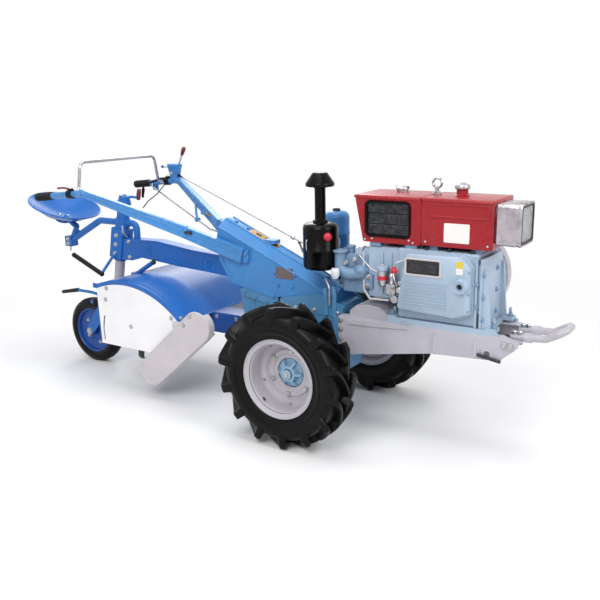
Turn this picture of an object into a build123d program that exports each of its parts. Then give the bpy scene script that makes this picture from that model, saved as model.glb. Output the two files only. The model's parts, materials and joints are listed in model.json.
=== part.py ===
"""Walking tractor with a rotary tiller, tail wheel and seat.

X points forward (engine and headlamp), Y to the left, Z up, and the floor is at Z = 0.
Stations along X are measured from the drive axle; AXLE_X moves the finished part so that
its origin lies on the floor at the middle of the overall length and width.
"""
from build123d import *
import os
from math import atan2, cos, degrees, hypot, pi, radians, sin, sqrt, tan

os.makedirs("parts", exist_ok=True)

# ---------------------------------------------------------------- overall sizes
AXLE_X = 445            # drive axle ahead of the middle of the overall length
TRACK = 800             # between the middles of the drive tyres
RUN = 0.08              # radial clearance of a shaft in its bore
GAP = 6                 # clearance between pieces that pass each other

# drive wheels, 6.00-12 size
TYRE_R = 312
TYRE_W = 162
TREAD_W = 146
TREAD_CHAMFER = 12
SHOULDER_R = 296
BEAD_R = 152
BEAD_HALF = 58
FLANGE_R = 174
FLANGE_T = 8
RIM_T = 6
DISC_OUT = -40          # outboard face of the wheel disc, from the wheel's middle plane
DISC_T = 8
DISC_HOLE_R = 66
DISC_STEP = 16
SPIGOT_R = 63
SHAFT_R = 22
HUB_R = 40
HUB_IN = 96
HUB_OUT = -10
SHAFT_END = 14          # the half shaft stands this far out of its hub
HUB_FLANGE_R = 92
HUB_FLANGE_T = 12
AXLE_Z = TYRE_R

# gearbox
CASE_X0 = -235
CASE_X1 = 105
CASE_HALF = 92
CASE_Z0 = 238
CASE_Z1 = 560
FINAL_R = 104
HOUSING_R = 52
HOUSING_OUT = 205
HOUSING_FLANGE_R = 82

# chassis rails
RAIL_X0 = CASE_X1
RAIL_X1 = 890
RAIL_OUT = 130          # outer faces
RAIL_T = 7
RAIL_FLANGE = 44
RAIL_Z_REAR = 350       # lower edge at the gearbox
RAIL_Z_TOP = 524

# folding front stand, pivoted in the rails
STAND_X = 780
STAND_Z = 456
STAND_R = 12
STAND_HALF = 62
STAND_LEG = 410

# engine, with its crankshaft across the frame
CRANK_X = 564
CRANK_Z = 711
BLOCK_X0 = 382
BLOCK_X1 = 728
BLOCK_R = -114          # right face, behind the gear cover
BLOCK_L = 116
BLOCK_Z0 = 550
BLOCK_Z1 = 846
COVER_T = 50
HEAD_X0 = 106
HEAD_X1 = 232
HEAD_HALF = 96
HEAD_Y = 0
FLYWHEEL_R = 198
FLYWHEEL_Y0 = 138
FLYWHEEL_Y1 = 206
CRANK_R = 30
PULLEY_R = 72
PULLEY_W = 54
CLUTCH_R = 118
CLUTCH_X = -30
CLUTCH_Z = 490
INPUT_R = 18
BELT_T = 12
BELT_COUNT = 3
BELT_PITCH = 17

# water hopper, tank and headlamp
HOPPER_X0 = 176
TANK_X0 = 480
TANK_X1 = 780
HOPPER_R = -115
HOPPER_L = 115
HOPPER_Z0 = BLOCK_Z1
HOPPER_Z1 = 1057
TANK_Z0 = HOPPER_Z0 + 20
SHELL_T = 4
TANK_CORNER = 14
LAMP_X1 = 886
LAMP_Z0 = 884
LAMP_Z1 = 1048

# air cleaner and silencer over the cylinder head
CAN_X = 2
CAN_Y = -104
CAN_R = 80
CAN_Z0 = 720
CAN_Z1 = 924
SNORKEL_R = 24
SNORKEL_Z1 = 1088
BELL_R = 63
BELL_Z1 = 1142
SILENCER_X = -42
SILENCER_Y = 112
SILENCER_R = 60
SILENCER_Z0 = 742
SILENCER_Z1 = 948

# gear-lever housing, sloping up to the handlebars
CONSOLE_HALF = 88
CONSOLE_FRONT = 62
CONSOLE_BACK = -585
CONSOLE_TOP = 613       # side edge of the top, over the axle
CONSOLE_SLOPE = 0.43
CONSOLE_RIDGE = 35
CONSOLE_RIDGE_HALF = 30

# handlebars
GRIP_Y = 353
GRIP_Z = 992
GRIP_X0 = -1552
GRIP_L = 120
BAR_BEND_X = -1208
BAR_BEND_Z = 1024
BAR_MID = (-753, 132, 832)
BAR_END = (-430, 102, 738)
BAR_W = 30
TUBE_R = 16

# tail-wheel column, raked forward at the top
RAKE = 11
PIVOT_X = -1393
PIVOT_Z = 430
SLEEVE_HALF = 43
SLEEVE_Z0 = 205
SLEEVE_Z1 = 372
COLUMN_R = 34
COLUMN_Z1 = 520
POST_R = 27
STEM_R = 17
TAIL_R = 187
TAIL_W = 78
TAIL_X = -1590
TAIL_RIM_R = 124

# rotary tiller
ROTOR_X = -1000
ROTOR_Z = 356
ROTOR_R = 205
ROTOR_TUBE_R = 32
TILLER_HALF = 300
HOOD_R = 526
HOOD_X = -1040
HOOD_Z = 58
HOOD_BACK = -1230
HOOD_FRONT = -662
HOOD_T = 4
BAND = 16
COVER_Z0 = 243
DRIVE_HALF = 34

# seat
SEAT_X = -1770
SEAT_Z = 895
SEAT_R = 196
SEAT_DEPTH = 96
SEAT_TILT = 18
SEAT_T = 4


# ---------------------------------------------------------------- helpers
def block(x0, x1, y0, y1, z0, z1, r=0):
    """A box by its six faces, with all edges rounded by r."""
    b = Pos((x0 + x1) / 2, (y0 + y1) / 2, (z0 + z1) / 2) * Box(x1 - x0, y1 - y0, z1 - z0)
    return fillet(b.edges(), r) if r else b


def rod(p, q, r):
    """A round bar from point p to point q."""
    a, b = Vector(*p), Vector(*q)
    return extrude(Plane(a, z_dir=b - a) * Circle(r), (b - a).length)


def tube_y(x, z, y0, y1, outer, inner):
    """A round tube along Y."""
    return rod((x, y0, z), (x, y1, z), outer) - rod((x, y0 - 1, z), (x, y1 + 1, z), inner)


def side_plane(y):
    """Sketch plane whose x is the part's X and whose y is the part's Z."""
    return Plane((0, y, 0), x_dir=(1, 0, 0), z_dir=(0, -1, 0))


def side_plate(points, y0, y1):
    """A plate of polygonal side view between two Y stations."""
    return extrude(side_plane(y1) * make_face(Polyline(*points, close=True)), y1 - y0)


def disc_y(x, z, r, y0, y1):
    """A disc across Y."""
    return extrude(side_plane(y1) * (Pos(x, z) * Circle(r)), y1 - y0)


def bent(points, r, bend):
    """A round bar bent along a route."""
    path = FilletPolyline(*points, radius=bend)
    return sweep(Plane(path @ 0, z_dir=path % 0) * Circle(r), path=path)


def beam(p, q, size_p, size_q):
    """A straight bar of upright rectangular section; sizes are (across, deep)."""
    a, b = Vector(*p), Vector(*q)
    d = (b - a).normalized()
    across = Vector(-d.Y, d.X, 0).normalized()
    sections = [Plane(e, x_dir=across, z_dir=d) * Rectangle(*s) for e, s in ((a, size_p), (b, size_q))]
    return loft(Sketch() + sections)


def mirrored(shape):
    """The other side's copy."""
    return mirror(shape, about=Plane.XZ)


def hull_plate(x0, z0, r0, x1, z1, r1, y0, y1):
    """A plate whose outline is the belt line around two circles."""
    d = hypot(x1 - x0, z1 - z0)
    lean = atan2(z1 - z0, x1 - x0)
    spread = pi / 2 - atan2(r0 - r1, sqrt(d * d - (r0 - r1) ** 2))
    pts = []
    for cx, cz, r, side in ((x0, z0, r0, 1), (x1, z1, r1, 1), (x1, z1, r1, -1), (x0, z0, r0, -1)):
        a = lean + side * spread
        pts.append((cx + r * cos(a), cz + r * sin(a)))
    far = (x1 + r1 * cos(lean), z1 + r1 * sin(lean))
    near = (x0 - r0 * cos(lean), z0 - r0 * sin(lean))
    outline = [Line(pts[0], pts[1]), ThreePointArc(pts[1], far, pts[2]),
               Line(pts[2], pts[3]), ThreePointArc(pts[3], near, pts[0])]
    return extrude(side_plane(y1) * make_face(Curve() + outline), y1 - y0)


def steer(shape):
    """From the tail column's own upright frame to the part: origin at the swivel, raked."""
    return Pos(PIVOT_X, 0, PIVOT_Z) * Rot(0, RAKE, 0) * shape


parts = {}


# ---------------------------------------------------------------- drive wheels
def tyre():
    """Smooth envelope of the tyre about the Y axis; the lugs stand inside it."""
    side = TYRE_W / 2
    tread = TREAD_W / 2
    low = FLANGE_R + 2
    mid = (low + SHOULDER_R) / 2
    half = [Line((BEAD_R, 0), (BEAD_R, BEAD_HALF)), Line((BEAD_R, BEAD_HALF), (low, BEAD_HALF)),
            ThreePointArc((low, BEAD_HALF), (mid, side), (SHOULDER_R, tread)),
            Line((SHOULDER_R, tread), (TYRE_R, tread - TREAD_CHAMFER)),
            Line((TYRE_R, tread - TREAD_CHAMFER), (TYRE_R, 0)), Line((TYRE_R, 0), (BEAD_R, 0))]
    ring = revolve(make_face(Curve() + half), Axis.Y)
    return ring + mirrored(ring)


def rim():
    """Barrel with two flanges and a dished disc, outboard towards +Y."""
    out = BEAD_HALF + FLANGE_T
    inner = BEAD_R - RIM_T
    flange = [(inner, BEAD_HALF - 10), (BEAD_R, BEAD_HALF - 10), (BEAD_R, BEAD_HALF),
              (FLANGE_R, BEAD_HALF), (FLANGE_R, out), (FLANGE_R - 8, out),
              (BEAD_R, BEAD_HALF + 5), (inner, BEAD_HALF)]
    half = BEAD_HALF - 10
    barrel = [(inner, -half), (BEAD_R, -half), (BEAD_R, half), (inner, half)]
    ring = revolve(make_face(Polyline(*flange, close=True)), Axis.Y)
    step = DISC_OUT + DISC_STEP
    face = [(inner, step), (128, step), (114, DISC_OUT), (DISC_HOLE_R, DISC_OUT)]
    back = [(r, y - DISC_T) for r, y in reversed(face)]
    disc = revolve(make_face(Polyline(*(face + back), close=True)), Axis.Y)
    return revolve(make_face(Polyline(*barrel, close=True)), Axis.Y) + ring + mirrored(ring) + disc


def hub():
    """Hub bolted to the back of the disc, clamped on a half shaft from inside the final drive."""
    back = DISC_OUT - DISC_T
    body = rod((0, -HUB_IN, 0), (0, HUB_OUT, 0), HUB_R)
    body += rod((0, back - HUB_FLANGE_T, 0), (0, back, 0), HUB_FLANGE_R)
    body += rod((0, back - 1, 0), (0, DISC_OUT - 2, 0), SPIGOT_R)
    return body + rod((0, CASE_HALF - 40 - TRACK / 2, 0), (0, HUB_OUT + SHAFT_END, 0), SHAFT_R)


for name, make in (("tyre", tyre), ("rim", rim), ("hub", hub)):
    left = Pos(0, TRACK / 2, AXLE_Z) * make()
    parts[name + "_left"] = left
    parts[name + "_right"] = mirrored(left)


# ---------------------------------------------------------------- gearbox and axle housings
def gearbox():
    case = block(CASE_X0, CASE_X1, -CASE_HALF, CASE_HALF, CASE_Z0, CASE_Z1, 16)
    case += rod((0, -CASE_HALF, AXLE_Z), (0, CASE_HALF, AXLE_Z), FINAL_R)
    case += block(CASE_X1 - 30, CASE_X1, -CASE_HALF - 28, CASE_HALF + 28, RAIL_Z_REAR + 10, RAIL_Z_TOP - 10)
    case += rod((CLUTCH_X, CASE_HALF - 10, CLUTCH_Z), (CLUTCH_X, CASE_HALF + 40, CLUTCH_Z), 62)
    shaft_hole = rod((0, -CASE_HALF - 1, AXLE_Z), (0, CASE_HALF + 1, AXLE_Z), SHAFT_R + RUN)
    y0, y1 = CASE_HALF - 20, CASE_HALF + 41
    input_hole = rod((CLUTCH_X, y0, CLUTCH_Z), (CLUTCH_X, y1, CLUTCH_Z), INPUT_R + RUN)
    return case - shaft_hole - input_hole


def axle_housing():
    body = rod((0, CASE_HALF, AXLE_Z), (0, HOUSING_OUT, AXLE_Z), HOUSING_R)
    body += rod((0, CASE_HALF, AXLE_Z), (0, CASE_HALF + 16, AXLE_Z), HOUSING_FLANGE_R)
    return body - rod((0, CASE_HALF - 1, AXLE_Z), (0, HOUSING_OUT + 1, AXLE_Z), SHAFT_R + RUN)


parts["gearbox"] = gearbox()
parts["axle_housings"] = axle_housing() + mirrored(axle_housing())


# ---------------------------------------------------------------- chassis
RAIL_TOP = [(RAIL_X0, RAIL_Z_TOP), (RAIL_X1 - 60, RAIL_Z_TOP + 6), (RAIL_X1, RAIL_Z_TOP - 14)]
RAIL_LOW = [(RAIL_X1, 486), (RAIL_X1 - 62, 433), (540, 418), (RAIL_X0 + 40, RAIL_Z_REAR),
            (RAIL_X0, RAIL_Z_REAR)]


def rail():
    """Pressed channel, its flanges turned inwards."""
    outline = RAIL_TOP + RAIL_LOW
    whole = side_plate(outline, RAIL_OUT - RAIL_FLANGE, RAIL_OUT)
    face = offset(side_plane(0) * make_face(Polyline(*outline, close=True)), -RAIL_T)
    hollow = extrude(Pos(0, RAIL_OUT - RAIL_T, 0) * face, RAIL_FLANGE + 2)
    y0, y1 = RAIL_OUT - RAIL_T - 2, RAIL_OUT + 2
    pivot_hole = rod((STAND_X, y0, STAND_Z), (STAND_X, y1, STAND_Z), STAND_R + RUN)
    return whole - hollow - pivot_hole


def cross_members():
    """Front, middle and rear members between the rails."""
    y = RAIL_OUT - RAIL_T
    front = block(RAIL_X1 - 44, RAIL_X1 - 10, -y, y, 484, 506)
    rear = block(RAIL_X0 + RAIL_T, RAIL_X0 + RAIL_T + 12, -y, y, RAIL_Z_REAR + 8, RAIL_Z_TOP - 8)
    return front + rear - rail() - mirrored(rail())


parts["rail_left"] = rail()
parts["rail_right"] = mirrored(rail())
parts["cross_members"] = cross_members()


def engine_bed():
    """Bearers and ties on the rails that carry the engine's feet."""
    z0, z1 = RAIL_Z_TOP, BLOCK_Z0
    bed = None
    for side in (-1, 1):
        y0, y1 = sorted((side * (RAIL_OUT - 48), side * (RAIL_OUT - 4)))
        bearer = block(BLOCK_X0 - 20, BLOCK_X1 + 40, y0, y1, z0, z1)
        bed = bearer if bed is None else bed + bearer
    for x0 in (BLOCK_X0 - 20, BLOCK_X1):
        bed += block(x0, x0 + 40, 4 - RAIL_OUT, RAIL_OUT - 4, z0, z1)
    return bed - chassis_envelope()


def chassis_envelope():
    """What the rails fill, to seat pieces on their sloping top."""
    outline = RAIL_TOP + RAIL_LOW
    return side_plate(outline, -RAIL_OUT, RAIL_OUT)


parts["engine_bed"] = engine_bed()
BUMPER_R = 15
BUMPER_HALF = 56
BUMPER_X0 = RAIL_X1 - 40
BUMPER_Z = 506 + BUMPER_R
bumper_side = [(BUMPER_X0, BUMPER_Z), (985, BUMPER_Z + 6), (1058, BUMPER_Z + 46)]
bumper_route = [(x, -BUMPER_HALF, z) for x, z in bumper_side]
bumper_route += [(x, BUMPER_HALF, z) for x, z in reversed(bumper_side)]
parts["bumper"] = bent(bumper_route, BUMPER_R, 24)


def front_stand():
    """Folding prop, stored lying back under the rails."""
    y = RAIL_OUT + 5
    pivot = rod((STAND_X, -y, STAND_Z), (STAND_X, y, STAND_Z), STAND_R)
    end = STAND_X - STAND_LEG
    legs = bent([(STAND_X, -STAND_HALF, STAND_Z), (end, -STAND_HALF, STAND_Z - 30),
                 (end, STAND_HALF, STAND_Z - 30), (STAND_X, STAND_HALF, STAND_Z)], STAND_R, 36)
    return pivot + legs


parts["front_stand"] = front_stand()


# ---------------------------------------------------------------- engine
def engine_block():
    body = block(BLOCK_X0, BLOCK_X1, BLOCK_R, BLOCK_L, BLOCK_Z0, BLOCK_Z1, 10)
    y0, y1 = HEAD_Y - HEAD_HALF, HEAD_Y + HEAD_HALF
    barrel = block(HEAD_X1, BLOCK_X0 + 20, y0, y1, CRANK_Z - 92, BLOCK_Z1 - 4, 8)
    seal = rod((CRANK_X, BLOCK_L - 1, CRANK_Z), (CRANK_X, FLYWHEEL_Y0 - GAP, CRANK_Z), 70)
    bore = rod((CRANK_X, BLOCK_L - 60, CRANK_Z), (CRANK_X, FLYWHEEL_Y0, CRANK_Z), CRANK_R + RUN)
    return body + barrel + seal - bore


def gear_cover():
    """Timing-gear cover on the right, with a clipped front corner and the starting boss."""
    x0, x1 = BLOCK_X0 + 12, BLOCK_X1 - 12
    z0, z1 = BLOCK_Z0 + 44, BLOCK_Z1 - 4
    outline = [(x0, z0), (x1 - 60, z0 - 12), (x1, z0 + 12), (x1, z1 - 44), (x1 - 44, z1), (x0 + 42, z1)]
    cover = side_plate(outline, BLOCK_R - COVER_T, BLOCK_R)
    cover = fillet(cover.faces().sort_by(Axis.Y)[0].edges(), 9)
    x, z, face = CRANK_X + 112, CRANK_Z + 14, BLOCK_R - COVER_T
    boss = rod((x, face - 22, z), (x, face + 1, z), 27)
    return cover + boss - rod((x, face - 23, z), (x, face + 2, z), 11)


def cylinder_head():
    """Head with the rocker cover on its end."""
    head = block(HEAD_X0, HEAD_X1, HEAD_Y - HEAD_HALF, HEAD_Y + HEAD_HALF, CRANK_Z - 84, CRANK_Z + 86, 10)
    return head + block(HEAD_X0 - 34, HEAD_X0 + 12, HEAD_Y - 62, HEAD_Y + 62, CRANK_Z - 66, CRANK_Z + 64, 12)


def flywheel():
    """Flywheel with the belt pulley bolted outside it."""
    disc = rod((CRANK_X, FLYWHEEL_Y0, CRANK_Z), (CRANK_X, FLYWHEEL_Y1, CRANK_Z), FLYWHEEL_R)
    dish = rod((CRANK_X, FLYWHEEL_Y1 - 34, CRANK_Z), (CRANK_X, FLYWHEEL_Y1 + 1, CRANK_Z), FLYWHEEL_R - 30)
    disc = disc - dish
    disc += rod((CRANK_X, FLYWHEEL_Y1 - 35, CRANK_Z), (CRANK_X, FLYWHEEL_Y1 + 8, CRANK_Z), 60)
    disc += rod((CRANK_X, BLOCK_L - 55, CRANK_Z), (CRANK_X, FLYWHEEL_Y0 + 1, CRANK_Z), CRANK_R)
    return disc


PULLEY_Y0 = FLYWHEEL_Y1 + 8
BELT_Y0 = PULLEY_Y0 + (PULLEY_W - BELT_PITCH * (BELT_COUNT - 1) - BELT_T) / 2


def grooved(x, z, r):
    """A V-belt pulley: a drum with one square groove for each belt."""
    drum = rod((x, PULLEY_Y0, z), (x, PULLEY_Y0 + PULLEY_W, z), r)
    for i in range(BELT_COUNT):
        y0 = BELT_Y0 + i * BELT_PITCH - 1
        y1 = y0 + BELT_T + 2
        drum -= tube_y(x, z, y0, y1, r + 1, r - 11)
    return drum


parts["engine_block"] = engine_block()
parts["gear_cover"] = gear_cover()
parts["cylinder_head"] = cylinder_head()
parts["flywheel"] = flywheel() + grooved(CRANK_X, CRANK_Z, PULLEY_R)


def clutch_pulley():
    """Driven pulley on the gearbox's input shaft."""
    drum = grooved(CLUTCH_X, CLUTCH_Z, CLUTCH_R)
    stub = rod((CLUTCH_X, CASE_HALF + 5, CLUTCH_Z), (CLUTCH_X, PULLEY_Y0 + 1, CLUTCH_Z), INPUT_R)
    face = PULLEY_Y0 + PULLEY_W
    cap = rod((CLUTCH_X, face - 1, CLUTCH_Z), (CLUTCH_X, face + 14, CLUTCH_Z), 44)
    return drum + stub + cap


parts["clutch_pulley"] = clutch_pulley()


def belt_line(out, y0, y1):
    """A plate around both pulleys, its edge this far outside them."""
    return hull_plate(CLUTCH_X, CLUTCH_Z, CLUTCH_R + out, CRANK_X, CRANK_Z, PULLEY_R + out, y0, y1)


def drive_belts():
    """Three V-belts around both pulleys, a little clear of the groove floors."""
    floor = -10
    belts = None
    for i in range(BELT_COUNT):
        y0 = BELT_Y0 + i * BELT_PITCH
        y1 = y0 + BELT_T
        outer = belt_line(floor + BELT_T, y0, y1)
        inner = belt_line(floor, y0 - 1, y1 + 1)
        belts = outer - inner if belts is None else belts + (outer - inner)
    return belts


parts["drive_belts"] = drive_belts()
GUARD_Y = PULLEY_Y0 + PULLEY_W + 26
GUARD_GAP = 30
GUARD_T = 3


def belt_guard():
    """Pan over the outside of the belts, open towards the engine."""
    outer = belt_line(GUARD_GAP, GUARD_Y - 46, GUARD_Y)
    inner = belt_line(GUARD_GAP - GUARD_T, GUARD_Y - 47, GUARD_Y - GUARD_T)
    foot = block(RAIL_X0 + 25, RAIL_X0 + 60, RAIL_OUT - 4, GUARD_Y - 2, RAIL_Z_TOP - 2, RAIL_Z_TOP + 4)
    return outer - inner + foot - chassis_envelope()


parts["belt_guard"] = belt_guard()


# ---------------------------------------------------------------- hopper, tank, lamp
def round_top(body, r):
    """Rounds a box's upright edges and the edges of its top."""
    return fillet(body.edges().filter_by(Axis.Z) + body.faces().sort_by(Axis.Z)[-1].edges(), r)


def shell(x0, x1, z0, z1, r):
    """Thin-walled box open below, standing on the engine."""
    outer = block(x0, x1, HOPPER_R, HOPPER_L, z0, z1)
    inner = block(x0 + SHELL_T, x1 - SHELL_T, HOPPER_R + SHELL_T, HOPPER_L - SHELL_T, z0 - 1, z1 - SHELL_T)
    return round_top(outer, r) - round_top(inner, r - SHELL_T)


GRILLE_X0, GRILLE_X1 = HOPPER_X0 + 52, TANK_X0 - 48
GRILLE_Z0, GRILLE_Z1 = HOPPER_Z0 + 40, HOPPER_Z1 - 24
LIP = 3


def radiator_housing():
    body = shell(HOPPER_X0, TANK_X0, HOPPER_Z0, HOPPER_Z1, 12)
    window = block(GRILLE_X0, GRILLE_X1, HOPPER_R - 5, HOPPER_R + SHELL_T + 1, GRILLE_Z0, GRILLE_Z1)
    return body - window


parts["radiator_housing"] = radiator_housing()
parts["radiator_grille"] = block(GRILLE_X0 - 4, GRILLE_X1 + 4, HOPPER_R + SHELL_T, HOPPER_R + SHELL_T + 16,
                                 GRILLE_Z0 - 4, GRILLE_Z1 + 4)


def fuel_tank():
    """Closed tank on two cross strips over the engine."""
    body = shell(TANK_X0, TANK_X1, TANK_Z0, HOPPER_Z1, TANK_CORNER)
    for dx, dy in ((TANK_CORNER, SHELL_T), (SHELL_T, TANK_CORNER)):
        body += block(TANK_X0 + dx, TANK_X1 - dx, HOPPER_R + dy, HOPPER_L - dy, TANK_Z0, TANK_Z0 + SHELL_T)
    for x0 in (TANK_X0 + 30, TANK_X1 - 90):
        body += block(x0, x0 + 36, HOPPER_R + 20, HOPPER_L - 20, HOPPER_Z0, TANK_Z0)
    return body


parts["fuel_tank"] = fuel_tank()


def headlamp():
    body = block(TANK_X1, LAMP_X1, HOPPER_R - 2, 50, LAMP_Z0, LAMP_Z1, 8)
    glass = block(LAMP_X1 - 3, LAMP_X1 + 1, HOPPER_R + 14, 34, LAMP_Z0 + 16, LAMP_Z1 - 14)
    return body - glass, block(LAMP_X1 - 3, LAMP_X1 - 1, HOPPER_R + 14, 34, LAMP_Z0 + 16, LAMP_Z1 - 14)


parts["headlamp"], parts["headlamp_lens"] = headlamp()
CAP_Y = 0
RAD_CAP_X = 318
RAD_CAP_Y = 55
parts["radiator_cap"] = rod((RAD_CAP_X, RAD_CAP_Y, HOPPER_Z1), (RAD_CAP_X, RAD_CAP_Y, HOPPER_Z1 + 26), 28)
FILLER_X = 607
fuel_cap = rod((FILLER_X, CAP_Y, HOPPER_Z1), (FILLER_X, CAP_Y, HOPPER_Z1 + 30), 27)
fuel_cap += rod((FILLER_X, CAP_Y, HOPPER_Z1 + 30), (FILLER_X, CAP_Y, HOPPER_Z1 + 52), 30)
parts["fuel_cap"] = fuel_cap
EYE_X = TANK_X0 + 19
EYE_R = 24
EYE_HOLE_R = 14
EYE_Z = HOPPER_Z1 + 48


def lifting_eye():
    ring = disc_y(EYE_X, EYE_Z, EYE_R, CAP_Y - 6, CAP_Y + 6)
    ring -= disc_y(EYE_X, EYE_Z, EYE_HOLE_R, CAP_Y - 7, CAP_Y + 7)
    return ring + rod((EYE_X, CAP_Y, HOPPER_Z1), (EYE_X, CAP_Y, EYE_Z - EYE_R + 4), 9)


parts["lifting_eye"] = lifting_eye()


# ---------------------------------------------------------------- air cleaner and silencer
def air_cleaner():
    """Can with its snorkel, rain cap and the elbow to the head."""
    can = rod((CAN_X, CAN_Y, CAN_Z0), (CAN_X, CAN_Y, CAN_Z1), CAN_R)
    can = fillet(can.edges(), 10)
    can += rod((CAN_X, CAN_Y, CAN_Z1 - 2), (CAN_X, CAN_Y, SNORKEL_Z1), SNORKEL_R)
    z0 = SNORKEL_Z1 - 8
    can += rod((CAN_X, CAN_Y, z0), (CAN_X, CAN_Y, z0 + 12), BELL_R)
    can += Pos(CAN_X, CAN_Y, (z0 + 12 + BELL_Z1) / 2) * Cone(BELL_R, 32, BELL_Z1 - z0 - 12)
    return can + rod((CAN_X, CAN_Y + 20, ELBOW_Z), (HEAD_X0 + 20, CAN_Y + 40, ELBOW_Z), 18) - cylinder_head()


ELBOW_Z = CRANK_Z + 58
parts["air_cleaner"] = air_cleaner()


def silencer():
    drum = rod((SILENCER_X, SILENCER_Y, SILENCER_Z0), (SILENCER_X, SILENCER_Y, SILENCER_Z1), SILENCER_R)
    drum = fillet(drum.edges(), 18)
    pipe = rod((SILENCER_X + SILENCER_R - 10, SILENCER_Y - 20, CRANK_Z + 56),
               (HEAD_X0 + 40, HEAD_Y + HEAD_HALF - 14, CRANK_Z + 50), 20)
    return drum + pipe - cylinder_head()


parts["silencer"] = silencer()


# ---------------------------------------------------------------- fuel system, right of the engine
FILTER_X = 318
FILTER_Y = HEAD_Y - HEAD_HALF - 34
fuel_filter = rod((FILTER_X, FILTER_Y, 672), (FILTER_X, FILTER_Y, 768), 24)
fuel_filter += block(FILTER_X - 14, FILTER_X + 14, FILTER_Y, HEAD_Y - HEAD_HALF, 748, 768)
pump = block(336, BLOCK_X0, BLOCK_R - 30, BLOCK_R + 18, 640, 700, 6)
pump += rod((360, BLOCK_R - 12, 696), (360, BLOCK_R - 12, 742), 12)
fuel_pipe = bent([(HEAD_X0 + 90, HEAD_Y - HEAD_HALF - 4, 790), (HEAD_X0 + 110, HEAD_Y - HEAD_HALF - 8, 690),
                           (HEAD_X0 + 150, HEAD_Y - HEAD_HALF - 10, 650), (340, BLOCK_R - 12, 656)], 4, 18)
parts["fuel_system"] = fuel_filter + pump + fuel_pipe


# ---------------------------------------------------------------- gear-lever housing
def console_top(x):
    """Height of the housing's sloping top above station x."""
    return CONSOLE_TOP - CONSOLE_SLOPE * x


def console():
    z_back = console_top(CONSOLE_BACK)
    outline = [(CONSOLE_FRONT, CASE_Z1 - 2), (CONSOLE_FRONT, console_top(CONSOLE_FRONT)),
               (CONSOLE_BACK, z_back), (CONSOLE_BACK - 12, z_back - 60), (-520, 600),
               (CASE_X0 - 40, 545), (CASE_X0 - 2, CASE_Z1 - 2)]
    body = side_plate(outline, -CONSOLE_HALF, CONSOLE_HALF)
    ends = []
    for x in (CONSOLE_FRONT, CONSOLE_BACK):
        z = console_top(x) - 1
        ridge = z + CONSOLE_RIDGE
        section = Polyline((-CONSOLE_HALF, z), (-CONSOLE_RIDGE_HALF, ridge), (CONSOLE_RIDGE_HALF, ridge),
                           (CONSOLE_HALF, z), close=True)
        ends.append(Plane((x, 0, 0), x_dir=(0, 1, 0), z_dir=(1, 0, 0)) * make_face(section))
    return body + loft(Sketch() + ends)


parts["console"] = console() - gearbox()


# ---------------------------------------------------------------- handlebars
def handlebar():
    """Left bar: grip tube, level run, then a channel that deepens down to the housing."""
    x, y, z = BAR_MID
    bend = (BAR_BEND_X, GRIP_Y, BAR_BEND_Z)
    upper = beam(bend, BAR_MID, (BAR_W, 34), (BAR_W, 58))
    lower = beam(BAR_MID, BAR_END, (BAR_W, 58), (BAR_W, 70))
    knee = rod((x, y, z - 29), (x, y, z + 29), BAR_W / 2)
    tube = rod((GRIP_X0 + 30, GRIP_Y, GRIP_Z), bend, TUBE_R)
    ball = Pos(*bend) * Sphere(TUBE_R + 1)
    return upper + lower + knee + tube + ball


def grip():
    """Rubber grip around the tube's end."""
    d = Vector(BAR_BEND_X - GRIP_X0 - 30, 0, BAR_BEND_Z - GRIP_Z).normalized()
    a = Vector(GRIP_X0, GRIP_Y, GRIP_Z) - Vector(0, 0, 30 * d.Z)
    return rod(tuple(a), tuple(a + d * 30), 21) + rod(tuple(a + d * 30), tuple(a + d * GRIP_L), 21) \
        - rod((GRIP_X0 + 30, GRIP_Y, GRIP_Z), (BAR_BEND_X, GRIP_Y, BAR_BEND_Z), TUBE_R)


x, y, z = BAR_END
bar_lug = block(x - 30, x + 30, CONSOLE_HALF, y + 2, z - 30, z + 30)
parts["handlebar_left"] = handlebar() + bar_lug - parts["console"]
parts["handlebar_right"] = mirrored(parts["handlebar_left"])
parts["handle_grips"] = grip() + mirrored(grip())
HOOP_X = -1310
HOOP_Y = 270
HOOP_Z = 1164
tube_z = GRIP_Z + (BAR_BEND_Z - GRIP_Z) * (HOOP_X - GRIP_X0 - 30) / (BAR_BEND_X - GRIP_X0 - 30)
hoop_foot = GRIP_Y - TUBE_R
hoop_half = [(hoop_foot, tube_z), (HOOP_Y + 20, tube_z + 6), (HOOP_Y - 4, HOOP_Z)]
hoop_route = [(HOOP_X, -y, z) for y, z in hoop_half] + [(HOOP_X, 0, HOOP_Z + 14)]
hoop_route += [(HOOP_X, y, z) for y, z in reversed(hoop_half)]
grab_hoop = bent(hoop_route, 11, 18)
parts["grab_hoop"] = grab_hoop - parts["handlebar_left"] - parts["handlebar_right"]


def lever_box():
    """Clutch and throttle tower on the left bar, with its lever."""
    x, z = -1238, tube_z + 10
    tower = Pos(x, GRIP_Y, z + 50) * Cone(26, 42, 84)
    lever = rod((x + 18, GRIP_Y, z + 60), (x + 80, GRIP_Y - 6, z + 172), 6)
    knob = Pos(x + 82, GRIP_Y - 6, z + 176) * Sphere(15)
    side = rod((x - 90, GRIP_Y, z + 76), (x - 20, GRIP_Y, z + 72), 4)
    side += Pos(x - 92, GRIP_Y, z + 76) * Sphere(9)
    foot = rod((x, GRIP_Y, z - 6), (x, GRIP_Y, z + 10), 19)
    return tower + lever + knob + side + foot


parts["clutch_lever_box"] = lever_box() - parts["handlebar_left"]


CABLE_R = 3.5
cable_route = [(-1205, GRIP_Y - 8, tube_z + 40), (-150, 12, 796), (-40, 12, 762),
               (HEAD_X0 - 34, 12, CRANK_Z + 34)]
parts["throttle_cable"] = bent(cable_route, CABLE_R, 60) - parts["clutch_lever_box"] - parts["cylinder_head"]


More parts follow.
